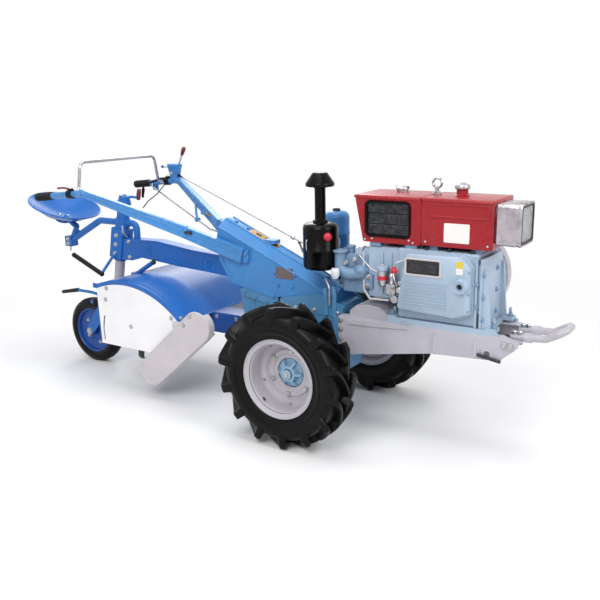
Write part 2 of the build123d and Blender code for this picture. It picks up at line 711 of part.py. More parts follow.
# ---------------------------------------------------------------- seat, arm and beam
def seat():
    """Pressed dish, higher at the back."""
    sphere_r = (SEAT_R ** 2 + SEAT_DEPTH ** 2) / (2 * SEAT_DEPTH)
    arc_mid = radians(45)
    centre = sphere_r - SEAT_DEPTH
    outer = Pos(0, 0, centre) * Sphere(sphere_r)
    inner = Pos(0, 0, centre) * Sphere(sphere_r - SEAT_T)
    bowl = (outer - inner) & block(-SEAT_R - 10, SEAT_R + 10, -SEAT_R - 10, SEAT_R + 10, -SEAT_DEPTH - 5, 0)
    lip = Pos(0, 0, 0) * (Torus(SEAT_R - 1, 5))
    return Pos(SEAT_X, 0, SEAT_Z) * Rot(0, SEAT_TILT, 0) * (bowl + lip)


seat_low = (SEAT_X - SEAT_DEPTH * sin(radians(SEAT_TILT)), SEAT_Z - SEAT_DEPTH * cos(radians(SEAT_TILT)))
parts["seat"] = seat()
arm_route = [(-1215, 0, 735), (-1215, 0, 826), (-1490, 0, 826), (-1764, 0, 680)]


def seat_arm():
    """Bent arm from the beam, behind the column, down to the seat's clamp."""
    pieces = None
    for p, q in zip(arm_route, arm_route[1:]):
        b = rod(p, q, 18)
        pieces = b if pieces is None else pieces + b
        pieces += Pos(*q) * Sphere(18)
    return pieces


def seat_stem():
    foot, top = (-1738, 0, 690), (-1680, 0, 788)
    return rod(foot, top, 15) + block(foot[0] - 28, foot[0] + 22, -28, 28, 664, 722, 6)


parts["seat_arm"] = seat_arm() + seat_stem() - parts["seat"]


def tail_beam():
    """Deep beam from the gear-lever housing back to the column sleeve."""
    outline = [(-1345, 628), (-1235, 628), (-1160, 650), (-900, 628), (-505, 606), (-505, 704), (-800, 722),
               (-1050, 750), (-1235, 744), (-1345, 744)]
    return side_plate(outline, -32, 32)


sleeve_bore = steer(rod((0, 0, SLEEVE_Z0 - 60), (0, 0, COLUMN_Z1 - 10), POST_R + RUN))
sleeve_room = steer(block(-SLEEVE_HALF, SLEEVE_HALF, -SLEEVE_HALF, SLEEVE_HALF, 100, 600))
parts["tail_beam"] = tail_beam() - sleeve_room - parts["console"]


def column_sleeve():
    """Square sleeve and the closed column above it."""
    body = block(-SLEEVE_HALF, SLEEVE_HALF, -SLEEVE_HALF, SLEEVE_HALF, SLEEVE_Z0, SLEEVE_Z1, 5)
    body += rod((0, 0, SLEEVE_Z1 - 2), (0, 0, COLUMN_Z1), COLUMN_R)
    return steer(body) - sleeve_bore


def height_crank():
    """Hand crank for the column's screw."""
    cap = rod((0, 0, COLUMN_Z1), (0, 0, COLUMN_Z1 + 34), 30)
    arm = rod((0, 0, COLUMN_Z1 + 22), (48, 56, COLUMN_Z1 + 22), 7)
    knob = rod((48, 56, COLUMN_Z1 + 12), (48, 56, COLUMN_Z1 + 74), 11)
    return steer(cap + arm + knob)


parts["column_sleeve"] = column_sleeve()
parts["height_crank"] = height_crank()
column_room = steer(rod((0, 0, 100), (0, 0, COLUMN_Z1 + 100), COLUMN_R))
parts["seat_arm"] = parts["seat_arm"] - column_room - parts["tail_beam"]

# ---------------------------------------------------------------- tail wheel
POST_TOP = 330
STEM_TOP = 96
stem_bore = rod((0, 0, 0), (0, 0, STEM_TOP + 8), STEM_R + RUN)
parts["tail_post"] = steer(rod((0, 0, 1), (0, 0, POST_TOP), POST_R) - stem_bore)
FORK_HALF = 58
FORK_T = 8


def tail_fork():
    """Swivel stem, crown and two cheeks down to the tail wheel's axle."""
    stem = steer(rod((0, 0, -20), (0, 0, STEM_TOP), STEM_R))
    crown = steer(block(-36, 36, -FORK_HALF, FORK_HALF, -40, 0))
    outline = [(PIVOT_X + 30, PIVOT_Z - 46), (PIVOT_X + 40, PIVOT_Z - 4), (PIVOT_X - 42, PIVOT_Z + 6),
               (TAIL_X - 16, TAIL_R + 26), (TAIL_X - 26, TAIL_R), (TAIL_X, TAIL_R - 24),
               (TAIL_X + 30, TAIL_R - 4)]
    cheek = side_plate(outline, FORK_HALF - FORK_T, FORK_HALF)
    return stem + crown + cheek + mirrored(cheek)


def tail_axle():
    return rod((TAIL_X, -FORK_HALF - 8, TAIL_R), (TAIL_X, FORK_HALF + 8, TAIL_R), 10)


def foot_pegs():
    """Steering pegs for the driver's feet."""
    z = PIVOT_Z - 22
    return rod((PIVOT_X - 30, -170, z), (PIVOT_X - 30, 170, z), 11)


parts["tail_fork"] = tail_fork() + tail_axle() + foot_pegs()


def tail_tyre():
    half = TAIL_W / 2
    profile = [Line((TAIL_RIM_R, -half + 8), (TAIL_RIM_R, half - 8)),
               ThreePointArc((TAIL_RIM_R, half - 8), (TAIL_RIM_R + 30, half), (TAIL_R - 14, half - 8)),
               ThreePointArc((TAIL_R - 14, half - 8), (TAIL_R, 0), (TAIL_R - 14, -half + 8)),
               ThreePointArc((TAIL_R - 14, -half + 8), (TAIL_RIM_R + 30, -half), (TAIL_RIM_R, -half + 8))]
    return revolve(make_face(Curve() + profile), Axis.Y)


def tail_rim():
    rim_ring = rod((0, -30, 0), (0, 30, 0), TAIL_RIM_R) - rod((0, -31, 0), (0, 31, 0), TAIL_RIM_R - 10)
    disc = rod((0, -5, 0), (0, 5, 0), TAIL_RIM_R - 5)
    boss = rod((0, -FORK_HALF + FORK_T + 2, 0), (0, FORK_HALF - FORK_T - 2, 0), 28)
    bore = rod((0, -70, 0), (0, 70, 0), 10 + RUN)
    return rim_ring + disc + boss - bore


tail_at = Pos(TAIL_X, 0, TAIL_R)
parts["tail_tyre"] = tail_at * tail_tyre()
parts["tail_rim"] = tail_at * tail_rim()


# ---------------------------------------------------------------- rotary tiller
def hood_height(x, r=HOOD_R):
    """Height of the hood's arc of radius r above station x."""
    return HOOD_Z + sqrt(r * r - (x - HOOD_X) ** 2)


def arc_band(r_out, r_in, y0, y1):
    """A band of the hood's arc between two radii and two Y stations."""
    xs = (HOOD_BACK, (HOOD_BACK + HOOD_FRONT) / 2, HOOD_FRONT)
    top = [(x, hood_height(x, r_out)) for x in xs]
    low = [(x, hood_height(x, r_in)) for x in xs]
    edges = [ThreePointArc(*top), Line(top[2], low[2]), ThreePointArc(*low), Line(low[0], top[0])]
    return extrude(side_plane(y1) * make_face(Curve() + edges), y1 - y0)


def hood():
    body = arc_band(HOOD_R, HOOD_R - HOOD_T, -TILLER_HALF, TILLER_HALF)
    flange = arc_band(HOOD_R, HOOD_R - BAND, TILLER_HALF - HOOD_T, TILLER_HALF)
    return body + flange + mirrored(flange)


def side_cover():
    """Flat end plate under the hood's flange, with the flap's curved slot."""
    r = HOOD_R - BAND
    xs = (HOOD_BACK, (HOOD_BACK + HOOD_FRONT) / 2, HOOD_FRONT)
    top = [(x, hood_height(x, r)) for x in xs]
    low = [(HOOD_FRONT + 14, 392), (-850, COVER_Z0), (HOOD_BACK + 10, COVER_Z0)]
    edges = [ThreePointArc(*top), Line(top[2], low[0]), Line(low[0], low[1]), Line(low[1], low[2]),
             Line(low[2], top[0])]
    plate = extrude(side_plane(TILLER_HALF) * make_face(Curve() + edges), HOOD_T)
    slot_path = ThreePointArc((-1186, 392), (-1200, 325), (-1196, 262))
    slot = extrude(side_plane(TILLER_HALF + 1) * trace(slot_path, 9), HOOD_T + 2)
    return plate - slot


parts["tiller_hood"] = hood()


def drive_case():
    """Gear case from the gearbox's back, under the hood and down to the rotor."""
    top_x = -770
    front = block(top_x + 60, CASE_X0, -62, 62, 318, 424, 10)
    flange = block(CASE_X0 - 18, CASE_X0, -84, 84, 300, 520)
    arm = hull_plate(ROTOR_X, ROTOR_Z, 58, top_x, 400, 76, -DRIVE_HALF, DRIVE_HALF)
    saddle = block(top_x - 30, top_x + 50, -60, 60, 420, 560)
    saddle &= rod((HOOD_X, -60, HOOD_Z), (HOOD_X, 60, HOOD_Z), HOOD_R - 1)
    bore = rod((ROTOR_X, -DRIVE_HALF - 1, ROTOR_Z), (ROTOR_X, DRIVE_HALF + 1, ROTOR_Z), 24 + RUN)
    bridge = block(top_x - 10, top_x + 110, -62, 62, 330, 424)
    return front + flange + arm + saddle + bridge - bore - hood()


parts["tiller_drive_case"] = drive_case()
END_Y = TILLER_HALF - HOOD_T


def rotor_shaft():
    """Cross shaft: stub through the drive case, tubes each side, journals in the end plates."""
    shaft = rod((ROTOR_X, -DRIVE_HALF - GAP, ROTOR_Z), (ROTOR_X, DRIVE_HALF + GAP, ROTOR_Z), 24)
    y0, y1 = DRIVE_HALF + GAP, END_Y - GAP - 8
    for side in (-1, 1):
        shaft += rod((ROTOR_X, side * y0, ROTOR_Z), (ROTOR_X, side * y1, ROTOR_Z), ROTOR_TUBE_R)
    return shaft


BLADES = 8              # on each side of the drive case
BLADE_T = 8
BLADE_W = 46


def blade(turn, y, hand):
    """An L-shaped tine: a radial shank and a foot turned along the shaft."""
    tip = ROTOR_R - 6
    shank = block(ROTOR_TUBE_R - 1, tip, y - BLADE_T / 2, y + BLADE_T / 2, -BLADE_W / 2, BLADE_W / 2)
    foot_y = sorted((y, y + hand * 46))
    foot = block(tip - 10, tip - 1, foot_y[0], foot_y[1], -BLADE_W / 2, BLADE_W / 2)
    return Rot(0, turn, 0) * (shank + foot)


def tine_set():
    """Left-hand tines, spread along the shaft and around it."""
    first, last = DRIVE_HALF + 22, END_Y - 30
    tines = None
    for i in range(BLADES):
        y = first + (last - first) * i / (BLADES - 1)
        hand = -1 if i >= BLADES / 2 else 1
        b = blade(i * 135, y, hand)
        tines = b if tines is None else tines + b
    return Pos(ROTOR_X, 0, ROTOR_Z) * tines - rotor_shaft()


parts["rotor_shaft"] = rotor_shaft()
parts["tines"] = tine_set() + mirrored(tine_set())

FLAP_T = 4
FLAP_ROD_R = 7
FLAP_X = HOOD_BACK - 10
FLAP_Z1 = hood_height(HOOD_BACK) - 4


def rear_flap():
    """Levelling flap hung from the hood's back edge."""
    plate = block(FLAP_X - FLAP_T, FLAP_X, -TILLER_HALF + 12, TILLER_HALF - 12, COVER_Z0 + 20, FLAP_Z1)
    x, end = FLAP_X - 2, TILLER_HALF + 2
    return plate + rod((x, -end, FLAP_Z1), (x, end, FLAP_Z1), FLAP_ROD_R)


def flap_hinge():
    """Two lugs on the hood that hold the flap's rod."""
    lugs = None
    for y in (-TILLER_HALF + 3, TILLER_HALF - 3):
        b = block(HOOD_BACK - 26, HOOD_BACK + 4, y - 3, y + 3, FLAP_Z1 - 12, FLAP_Z1 + 12)
        b -= rod((FLAP_X - 2, y - 4, FLAP_Z1), (FLAP_X - 2, y + 4, FLAP_Z1), FLAP_ROD_R + RUN)
        lugs = b if lugs is None else lugs + b
    return lugs


parts["rear_flap"] = rear_flap()
parts["tiller_hood"] = parts["tiller_hood"] + flap_hinge()
parts["side_cover_left"] = side_cover() - parts["tiller_hood"]
parts["side_cover_right"] = mirrored(parts["side_cover_left"])


def soil_guard():
    """Long pan-shaped guard at the tiller's right front corner."""
    plate = hull_plate(-868, 150, 74, -560, 418, 78, -TILLER_HALF - 14, -TILLER_HALF - 10)
    rim_out = hull_plate(-868, 150, 74, -560, 418, 78, -TILLER_HALF - 14, -TILLER_HALF + 26)
    rim_in = hull_plate(-868, 150, 70, -560, 418, 74, -TILLER_HALF - 10, -TILLER_HALF + 27)
    keep = side_plate([(-470, 560), (-470, 40), (-960, 40), (-868, 150), (-560, 418)], -400, -200)
    bracket = block(-715, -545, -TILLER_HALF - 10, -TILLER_HALF, 400, 430)
    return plate + ((rim_out - rim_in) & keep) + bracket


parts["soil_guard"] = soil_guard()


def depth_rod():
    """Forked adjusting rod standing on the hood."""
    x = -1190
    z = hood_height(x)
    foot = block(x - 20, x + 30, -70, -30, z - 12, z + 10)
    arm = rod((x, -50, z), (x + 130, -50, z + 78), 12)
    return foot + arm - rod((HOOD_X, -90, HOOD_Z), (HOOD_X, 90, HOOD_Z), HOOD_R)


parts["depth_rod"] = depth_rod()


def foot_bar():
    """Rubber-covered foot bar on a strut from the column sleeve."""
    bar = rod((-1620, -100, 640), (-1396, -100, 547), 13)
    strut = rod((-1352, -SLEEVE_HALF - 3, 655), (-1406, -98, 552), 8)
    return bar + strut - parts["column_sleeve"]


parts["foot_bar"] = foot_bar()

# ---------------------------------------------------------------- write the files
for name, shape in parts.items():
    export_step(Pos(AXLE_X, 0, 0) * shape, f"parts/{name}.step")
print(len(parts), "nodes")
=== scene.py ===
"""Looks of the walking tractor with its rotary tiller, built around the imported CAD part.

X runs forward from the drive axle, Y left and Z up, all in millimetres as in the part, and
Shape.make() turns them into the frame's metres. box() gives the place of a CAD node, and what
has no node of its own stands at numbers read from the photograph.
"""
import json
from math import atan2, cos, degrees, pi, radians, sin, sqrt
from types import SimpleNamespace

import bmesh
import bpy
from mathutils import Matrix, Vector


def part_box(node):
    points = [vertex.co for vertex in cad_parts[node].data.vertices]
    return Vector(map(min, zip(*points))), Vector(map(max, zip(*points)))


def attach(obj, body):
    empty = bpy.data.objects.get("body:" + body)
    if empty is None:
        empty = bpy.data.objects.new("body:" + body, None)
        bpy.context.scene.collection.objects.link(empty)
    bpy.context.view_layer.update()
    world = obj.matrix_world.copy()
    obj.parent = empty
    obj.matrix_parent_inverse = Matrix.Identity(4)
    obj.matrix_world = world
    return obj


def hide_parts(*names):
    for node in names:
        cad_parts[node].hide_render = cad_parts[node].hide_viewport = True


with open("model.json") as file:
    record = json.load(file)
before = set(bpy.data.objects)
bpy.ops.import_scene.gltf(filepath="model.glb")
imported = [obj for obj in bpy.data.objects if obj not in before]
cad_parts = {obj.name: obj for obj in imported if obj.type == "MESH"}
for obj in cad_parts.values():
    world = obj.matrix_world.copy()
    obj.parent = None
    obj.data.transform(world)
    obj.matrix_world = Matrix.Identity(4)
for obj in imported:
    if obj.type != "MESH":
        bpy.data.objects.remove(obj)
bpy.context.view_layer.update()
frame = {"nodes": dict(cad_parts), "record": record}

MM = 0.001
AXLE = sum(corner.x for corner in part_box("tyre_left")) / 2 / MM
THIN = 0.01             # least radius of a turned profile, and the distance within which points merge


def box(node):
    """A CAD node's box, in millimetres from the drive axle."""
    low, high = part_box(node)
    b = SimpleNamespace(x0=low.x / MM - AXLE, x1=high.x / MM - AXLE, y0=low.y / MM, y1=high.y / MM,
                        z0=low.z / MM, z1=high.z / MM)
    b.x, b.y, b.z = (b.x0 + b.x1) / 2, (b.y0 + b.y1) / 2, (b.z0 + b.z1) / 2
    return b


# ---------------------------------------------------------------- materials
def rgb(r, g, b):
    """Linear colour from display values 0 to 255."""
    def channel(c):
        c /= 255
        return c / 12.92 if c <= 0.04045 else ((c + 0.055) / 1.055) ** 2.4
    return channel(r), channel(g), channel(b), 1.0


def scaled(colour, k):
    return tuple(min(1.0, c * k) for c in colour[:3]) + (1.0,)


class Finish:
    """A new material, with short names for the nodes that the finishes share."""

    def __init__(self, name):
        self.material = bpy.data.materials.new(name)
        self.material.use_nodes = True
        self.tree = self.material.node_tree
        self.shader = self.tree.nodes["Principled BSDF"]
        self.place = self.add("ShaderNodeTexCoord").outputs["Object"]

    def add(self, kind, **values):
        node = self.tree.nodes.new(kind)
        for key, value in values.items():
            setattr(node, key, value)
        return node

    def link(self, a, b):
        self.tree.links.new(a, b)

    def feed(self, socket, value):
        """A number or colour is set on the socket itself, and anything else is linked to it."""
        if isinstance(value, (int, float, tuple)):
            socket.default_value = value
        else:
            self.link(value, socket)

    def set(self, key, value):
        self.feed(self.shader.inputs[key], value)

    def bump(self, height, strength, distance):
        node = self.add("ShaderNodeBump")
        node.inputs["Strength"].default_value = strength
        node.inputs["Distance"].default_value = distance
        self.link(height, node.inputs["Height"])
        self.set("Normal", node.outputs["Normal"])

    def noise(self, scale, detail=3.0, rough=0.5, low=0.35, high=0.65, stretch=None):
        """Noise of that many waves per metre, spread to 0..1 between low and high."""
        node = self.add("ShaderNodeTexNoise")
        node.inputs["Scale"].default_value = scale
        node.inputs["Detail"].default_value = detail
        node.inputs["Roughness"].default_value = rough
        place = self.place
        if stretch:
            mapping = self.add("ShaderNodeMapping")
            mapping.inputs["Scale"].default_value = stretch
            self.link(place, mapping.inputs["Vector"])
            place = mapping.outputs["Vector"]
        self.link(place, node.inputs["Vector"])
        return self.span(node.outputs["Fac"], low, high)

    def span(self, value, low, high, to_low=0.0, to_high=1.0):
        node = self.add("ShaderNodeMapRange")
        self.link(value, node.inputs["Value"])
        for key, number in (("From Min", low), ("From Max", high), ("To Min", to_low), ("To Max", to_high)):
            node.inputs[key].default_value = number
        return node.outputs["Result"]

    def math(self, operation, a, b):
        node = self.add("ShaderNodeMath", operation=operation)
        for socket, value in zip(node.inputs, (a, b)):
            self.feed(socket, value)
        return node.outputs["Value"]

    def mix(self, share, a, b):
        node = self.add("ShaderNodeMix", data_type="RGBA")
        self.link(share, node.inputs["Factor"])
        self.feed(node.inputs[6], a)
        self.feed(node.inputs[7], b)
        return node.outputs[2]


def paint(name, shown, rough=0.4, metal=0.0, vary=0.10, coat=0.0, peel=0.05, peel_scale=700, lumps=0.0,
          dust_and_reflection=0.12, dust_and_reflection_colour=(96, 84, 70), wear_and_highlight=0.10, wear_and_highlight_colour=(190, 192, 196), grain=None,
          specular=0.5):
    """Paint, rubber, plastic or metal with colour variation, dust, worn edges and a fine surface.

    shown and the colours given for the dust and the edges are display values; vary and the dust and
    edge amounts are shares of the colour. A large dust share with a dark colour paints mottled dark
    reflections, and a light tint of the paint as edge colour paints highlights along convex edges.
    peel is the height of the fine surface and lumps that of the broad one beside it.
    """
    n = Finish(name)
    colour = rgb(*shown)
    broad = n.noise(3.5, 4)
    fine = n.noise(85, 5, 0.6, 0.3, 0.7, stretch=grain)
    shade = n.mix(broad, scaled(colour, 1 - vary), scaled(colour, 1 + vary))
    shade = n.mix(n.math("MULTIPLY", fine, 0.35), shade, scaled(colour, 1 - 1.6 * vary))
    pointed = n.add("ShaderNodeNewGeometry").outputs["Pointiness"]
    hollow = n.span(pointed, 0.50, 0.44)
    specks = n.noise(240, 2, 0.5, 0.62, 0.74)
    patches = n.noise(9, 6, 0.62, 0.45, 0.75)
    # brownish dust in hollows, patches and specks; where a finish gives a large share and a dark colour,
    # the same mask paints mottled dark reflections
    dust_and_reflection_share = n.math("MULTIPLY", n.math("MAXIMUM", n.math("MULTIPLY", hollow, 0.8), patches), dust_and_reflection)
    dust_and_reflection_share = n.math("ADD", dust_and_reflection_share, n.math("MULTIPLY", specks, dust_and_reflection * 0.5))
    shade = n.mix(dust_and_reflection_share, shade, rgb(*dust_and_reflection_colour))
    # lighter colour on convex edges: worn paint, and where the edge colour is a light tint of the paint,
    # painted highlights along the edges
    edge = n.math("MULTIPLY", n.span(pointed, 0.52, 0.60), n.noise(60, 4, 0.6, 0.42, 0.62))
    n.set("Base Color", n.mix(n.math("MULTIPLY", edge, wear_and_highlight), shade, rgb(*wear_and_highlight_colour)))
    roughness = n.math("ADD", n.span(broad, 0, 1, rough * 0.85, rough * 1.15),
                       n.math("MULTIPLY", dust_and_reflection_share, 0.5))
    roughness = n.math("ADD", roughness, n.math("MULTIPLY", fine, 0.05))
    n.set("Roughness", roughness)
    for key, value in (("Metallic", metal), ("Specular IOR Level", specular), ("Coat Weight", coat),
                       ("Coat Roughness", 0.12)):
        n.set(key, value)
    height = n.noise(peel_scale, 2, 0.5, 0.2, 0.8, stretch=grain)
    if lumps:
        height = n.math("ADD", height, n.math("MULTIPLY", n.noise(38, 4, 0.55, 0.2, 0.8), lumps))
    n.bump(height, peel, 0.0006)
    return n


def glass(name, colour):
    """Moulded lamp glass with fine flutes."""
    n = Finish(name)
    n.set("Base Color", n.mix(n.noise(40, 3), scaled(colour, 0.9), colour))
    n.set("Transmission Weight", 0.75)
    n.set("Roughness", n.span(n.noise(120, 2), 0, 1, 0.05, 0.14))
    wave = n.add("ShaderNodeTexWave", bands_direction="Y")
    wave.inputs["Scale"].default_value = 55
    n.link(n.place, wave.inputs["Vector"])
    n.bump(wave.outputs["Fac"], 0.35, 0.001)
    return n


FINISHES = {
    "blue": paint("blue_paint", (34, 102, 180), 0.28, coat=0.06, lumps=0.6, specular=0.18),
    # a lighter copy of the blue paint for the console, handlebars, lever tower and silencer: painted light
    # where the light falls on them, with painted highlights along the creases from its light edge colour
    "lit_blue": paint("lit_blue_paint", (60, 130, 194), 0.32, vary=0.12, coat=0.15, lumps=0.6,
                 specular=0.3, wear_and_highlight=0.2, wear_and_highlight_colour=(160, 200, 230)),
    "deep_blue": paint("deep_blue_paint", (24, 74, 150), 0.36, coat=0.1, lumps=0.6, specular=0.25),
    "teal": paint("gearbox_paint", (74, 132, 176), coat=0.1, lumps=1.0, peel=0.12, specular=0.3, dust_and_reflection=0.16),
    "hub": paint("hub_paint", (130, 166, 190), 0.42, lumps=1.2, peel=0.14, specular=0.3, dust_and_reflection=0.16),
    "engine": paint("engine_paint", (158, 178, 198), 0.36, coat=0.1, lumps=1.2, peel=0.10),
    "casting": paint("engine_casting_paint", (112, 142, 172), 0.42, lumps=2.0, peel=0.22, dust_and_reflection=0.22),
    "red": paint("red_paint", (152, 22, 32), 0.26, vary=0.08, coat=0.15, lumps=0.6, specular=0.25),
    "grey": paint("frame_grey_paint", (180, 178, 188), 0.46, lumps=0.8, peel=0.10, dust_and_reflection=0.16),
    "rim": paint("rim_paint", (180, 176, 184), 0.44, lumps=0.6, dust_and_reflection=0.22),
    "white": paint("cover_white_paint", (236, 235, 237), 0.42, vary=0.03, dust_and_reflection=0.07, lumps=0.5),
    "guard": paint("guard_paint", (196, 190, 195), 0.52, vary=0.05, dust_and_reflection=0.10, lumps=0.5),
    "black": paint("black_paint", (4, 4, 5), 0.20, vary=0.2, dust_and_reflection=0.02, wear_and_highlight=0.05, lumps=0.5,
                   specular=0.12),
    "dark": paint("dark_paint", (40, 42, 48), 0.5, vary=0.15, dust_and_reflection=0.10, specular=0.3),
    "tyre": paint("tyre_rubber", (7, 7, 9), 0.30, vary=0.18, peel=0.22, peel_scale=420, lumps=0.6,
                  specular=0.14, dust_and_reflection=0.04, dust_and_reflection_colour=(74, 70, 68), wear_and_highlight=0.05, wear_and_highlight_colour=(60, 60, 62)),
    "rubber": paint("black_rubber", (14, 14, 16), 0.5, vary=0.15, peel=0.3, dust_and_reflection=0.05, wear_and_highlight=0.0,
                    specular=0.25),
    "belt": paint("belt_rubber", (28, 27, 27), 0.75, vary=0.2, peel=0.4, dust_and_reflection=0.10, wear_and_highlight=0.0),
    "steel": paint("bright_steel", (184, 184, 188), 0.30, metal=1.0, vary=0.06, dust_and_reflection=0.08, wear_and_highlight=0.05,
                   grain=(1, 1, 6)),
    "chrome": paint("chrome_plate", (176, 174, 180), 0.10, metal=1.0, vary=0.12, dust_and_reflection=0.05, peel=0.06,
                    lumps=4.0),
    # chrome lamp shell: its large dark dust share paints mottled dark reflections over it, not dust
    "lamp": paint("lamp_shell", (196, 190, 196), 0.12, metal=1.0, vary=0.25, dust_and_reflection=0.9,
                  dust_and_reflection_colour=(70, 64, 70), peel=0.10, lumps=6.0, wear_and_highlight=0.0),
    "zinc": paint("zinc_bolt", (178, 180, 182), 0.34, metal=0.9, vary=0.08),
    "brass": paint("brass_fitting", (176, 138, 74), 0.36, metal=0.9, dust_and_reflection=0.15),
    "tine": paint("tine_steel", (34, 33, 35), 0.42, metal=0.35, vary=0.2, lumps=1.5, peel=0.25, dust_and_reflection=0.18),
    "iron": paint("cast_iron", (96, 98, 102), 0.5, metal=0.5, vary=0.15, lumps=1.6, peel=0.25, dust_and_reflection=0.2),
    "knob": paint("dark_red_knob", (104, 18, 30), 0.28, coat=0.2, dust_and_reflection=0.04, wear_and_highlight=0.0),
    "bright_red": paint("bright_red_plastic", (196, 26, 56), 0.32, coat=0.2, dust_and_reflection=0.03, wear_and_highlight=0.0),
    "plate": paint("blank_name_plate", (22, 22, 26), 0.34, metal=0.2, vary=0.2, dust_and_reflection=0.06),
    "tan": paint("worn_plate", (104, 92, 92), 0.42, metal=0.4, vary=0.2, dust_and_reflection=0.25),
    "label": paint("blank_white_label", (228, 226, 222), vary=0.03, dust_and_reflection=0.06, wear_and_highlight=0.0),
    "yellow": paint("blank_yellow_label", (214, 190, 60), vary=0.05, dust_and_reflection=0.06, wear_and_highlight=0.0),
    # the small cup's white also paints a highlight that falls there
    "cup": paint("white_cup_and_painted_highlight", (214, 218, 222), 0.25, vary=0.04, dust_and_reflection=0.05, wear_and_highlight=0.0),
    "glass": glass("lamp_glass", (0.80, 0.83, 0.86, 1.0)),
}
# the body that each CAD node rides on
BODY_OF = {node: body for body, nodes in frame["record"]["behaviour"]["bodies"].items() for node in nodes}
BOTH = (-1, 1)          # right side, left side
SIDES = (("left", 1), ("right", -1))


# ---------------------------------------------------------------- mesh building
def curve_through(points, steps):
    """Smooth run of points through the given ones, steps to each span."""
    pts = [Vector(p) for p in points]
    run = []
    for i in range(len(pts) - 1):
        p0, p1, p2, p3 = pts[max(i - 1, 0)], pts[i], pts[i + 1], pts[min(i + 2, len(pts) - 1)]
        for k in range(steps):
            t = k / steps
            run.append(0.5 * ((2 * p1) + (p2 - p0) * t + (2 * p0 - 5 * p1 + 4 * p2 - p3) * t * t
                              + (3 * p1 - p0 - 3 * p2 + p3) * t ** 3))
    return run + [pts[-1]]


def rounded_path(points, bend, steps=6):
    """A bent bar's centre line: straight runs with an arc of radius bend at each corner."""
    pts = [Vector(p) for p in points]
    run = [pts[0]]
    for a, p, b in zip(pts, pts[1:], pts[2:]):
        u, v = (a - p).normalized(), (b - p).normalized()
        half = u.angle(v) / 2
        if abs(half - pi / 2) < 0.02:
            run.append(p)
            continue
        reach = min(bend / sin(half) * cos(half), (a - p).length * 0.49, (b - p).length * 0.49)
        centre = p + (u + v).normalized() * (reach / cos(half))
        start, end = p + u * reach - centre, p + v * reach - centre
        turn = start.rotation_difference(end)
        for k in range(steps + 1):
            part = turn.copy()
            part.angle = turn.angle * k / steps
            run.append(centre + part @ start)
    return run + [pts[-1]]


def rounded(outline, r):
    """A flat outline with its corners rounded by r."""
    n = len(outline)
    flat = [Vector((p[0], p[1], 0)) for p in outline]
    run = []
    for i in range(n):
        before, after = flat[i - 1] / 2 + flat[i] / 2, flat[(i + 1) % n] / 2 + flat[i] / 2
        run += rounded_path([before, flat[i], after], r, 4)[1:-1]
    return [(p.x, p.y) for p in run]


def rectangle(a0, a1, b0, b1, r=0.0):
    corners = [(a0, b0), (a1, b0), (a1, b1), (a0, b1)]
    return rounded(corners, r) if r else corners


AXES = {"x": (Vector((0, 1, 0)), Vector((0, 0, 1)), Vector((1, 0, 0))),
        "y": (Vector((1, 0, 0)), Vector((0, 0, 1)), Vector((0, 1, 0))),
        "z": (Vector((1, 0, 0)), Vector((0, 1, 0)), Vector((0, 0, 1)))}


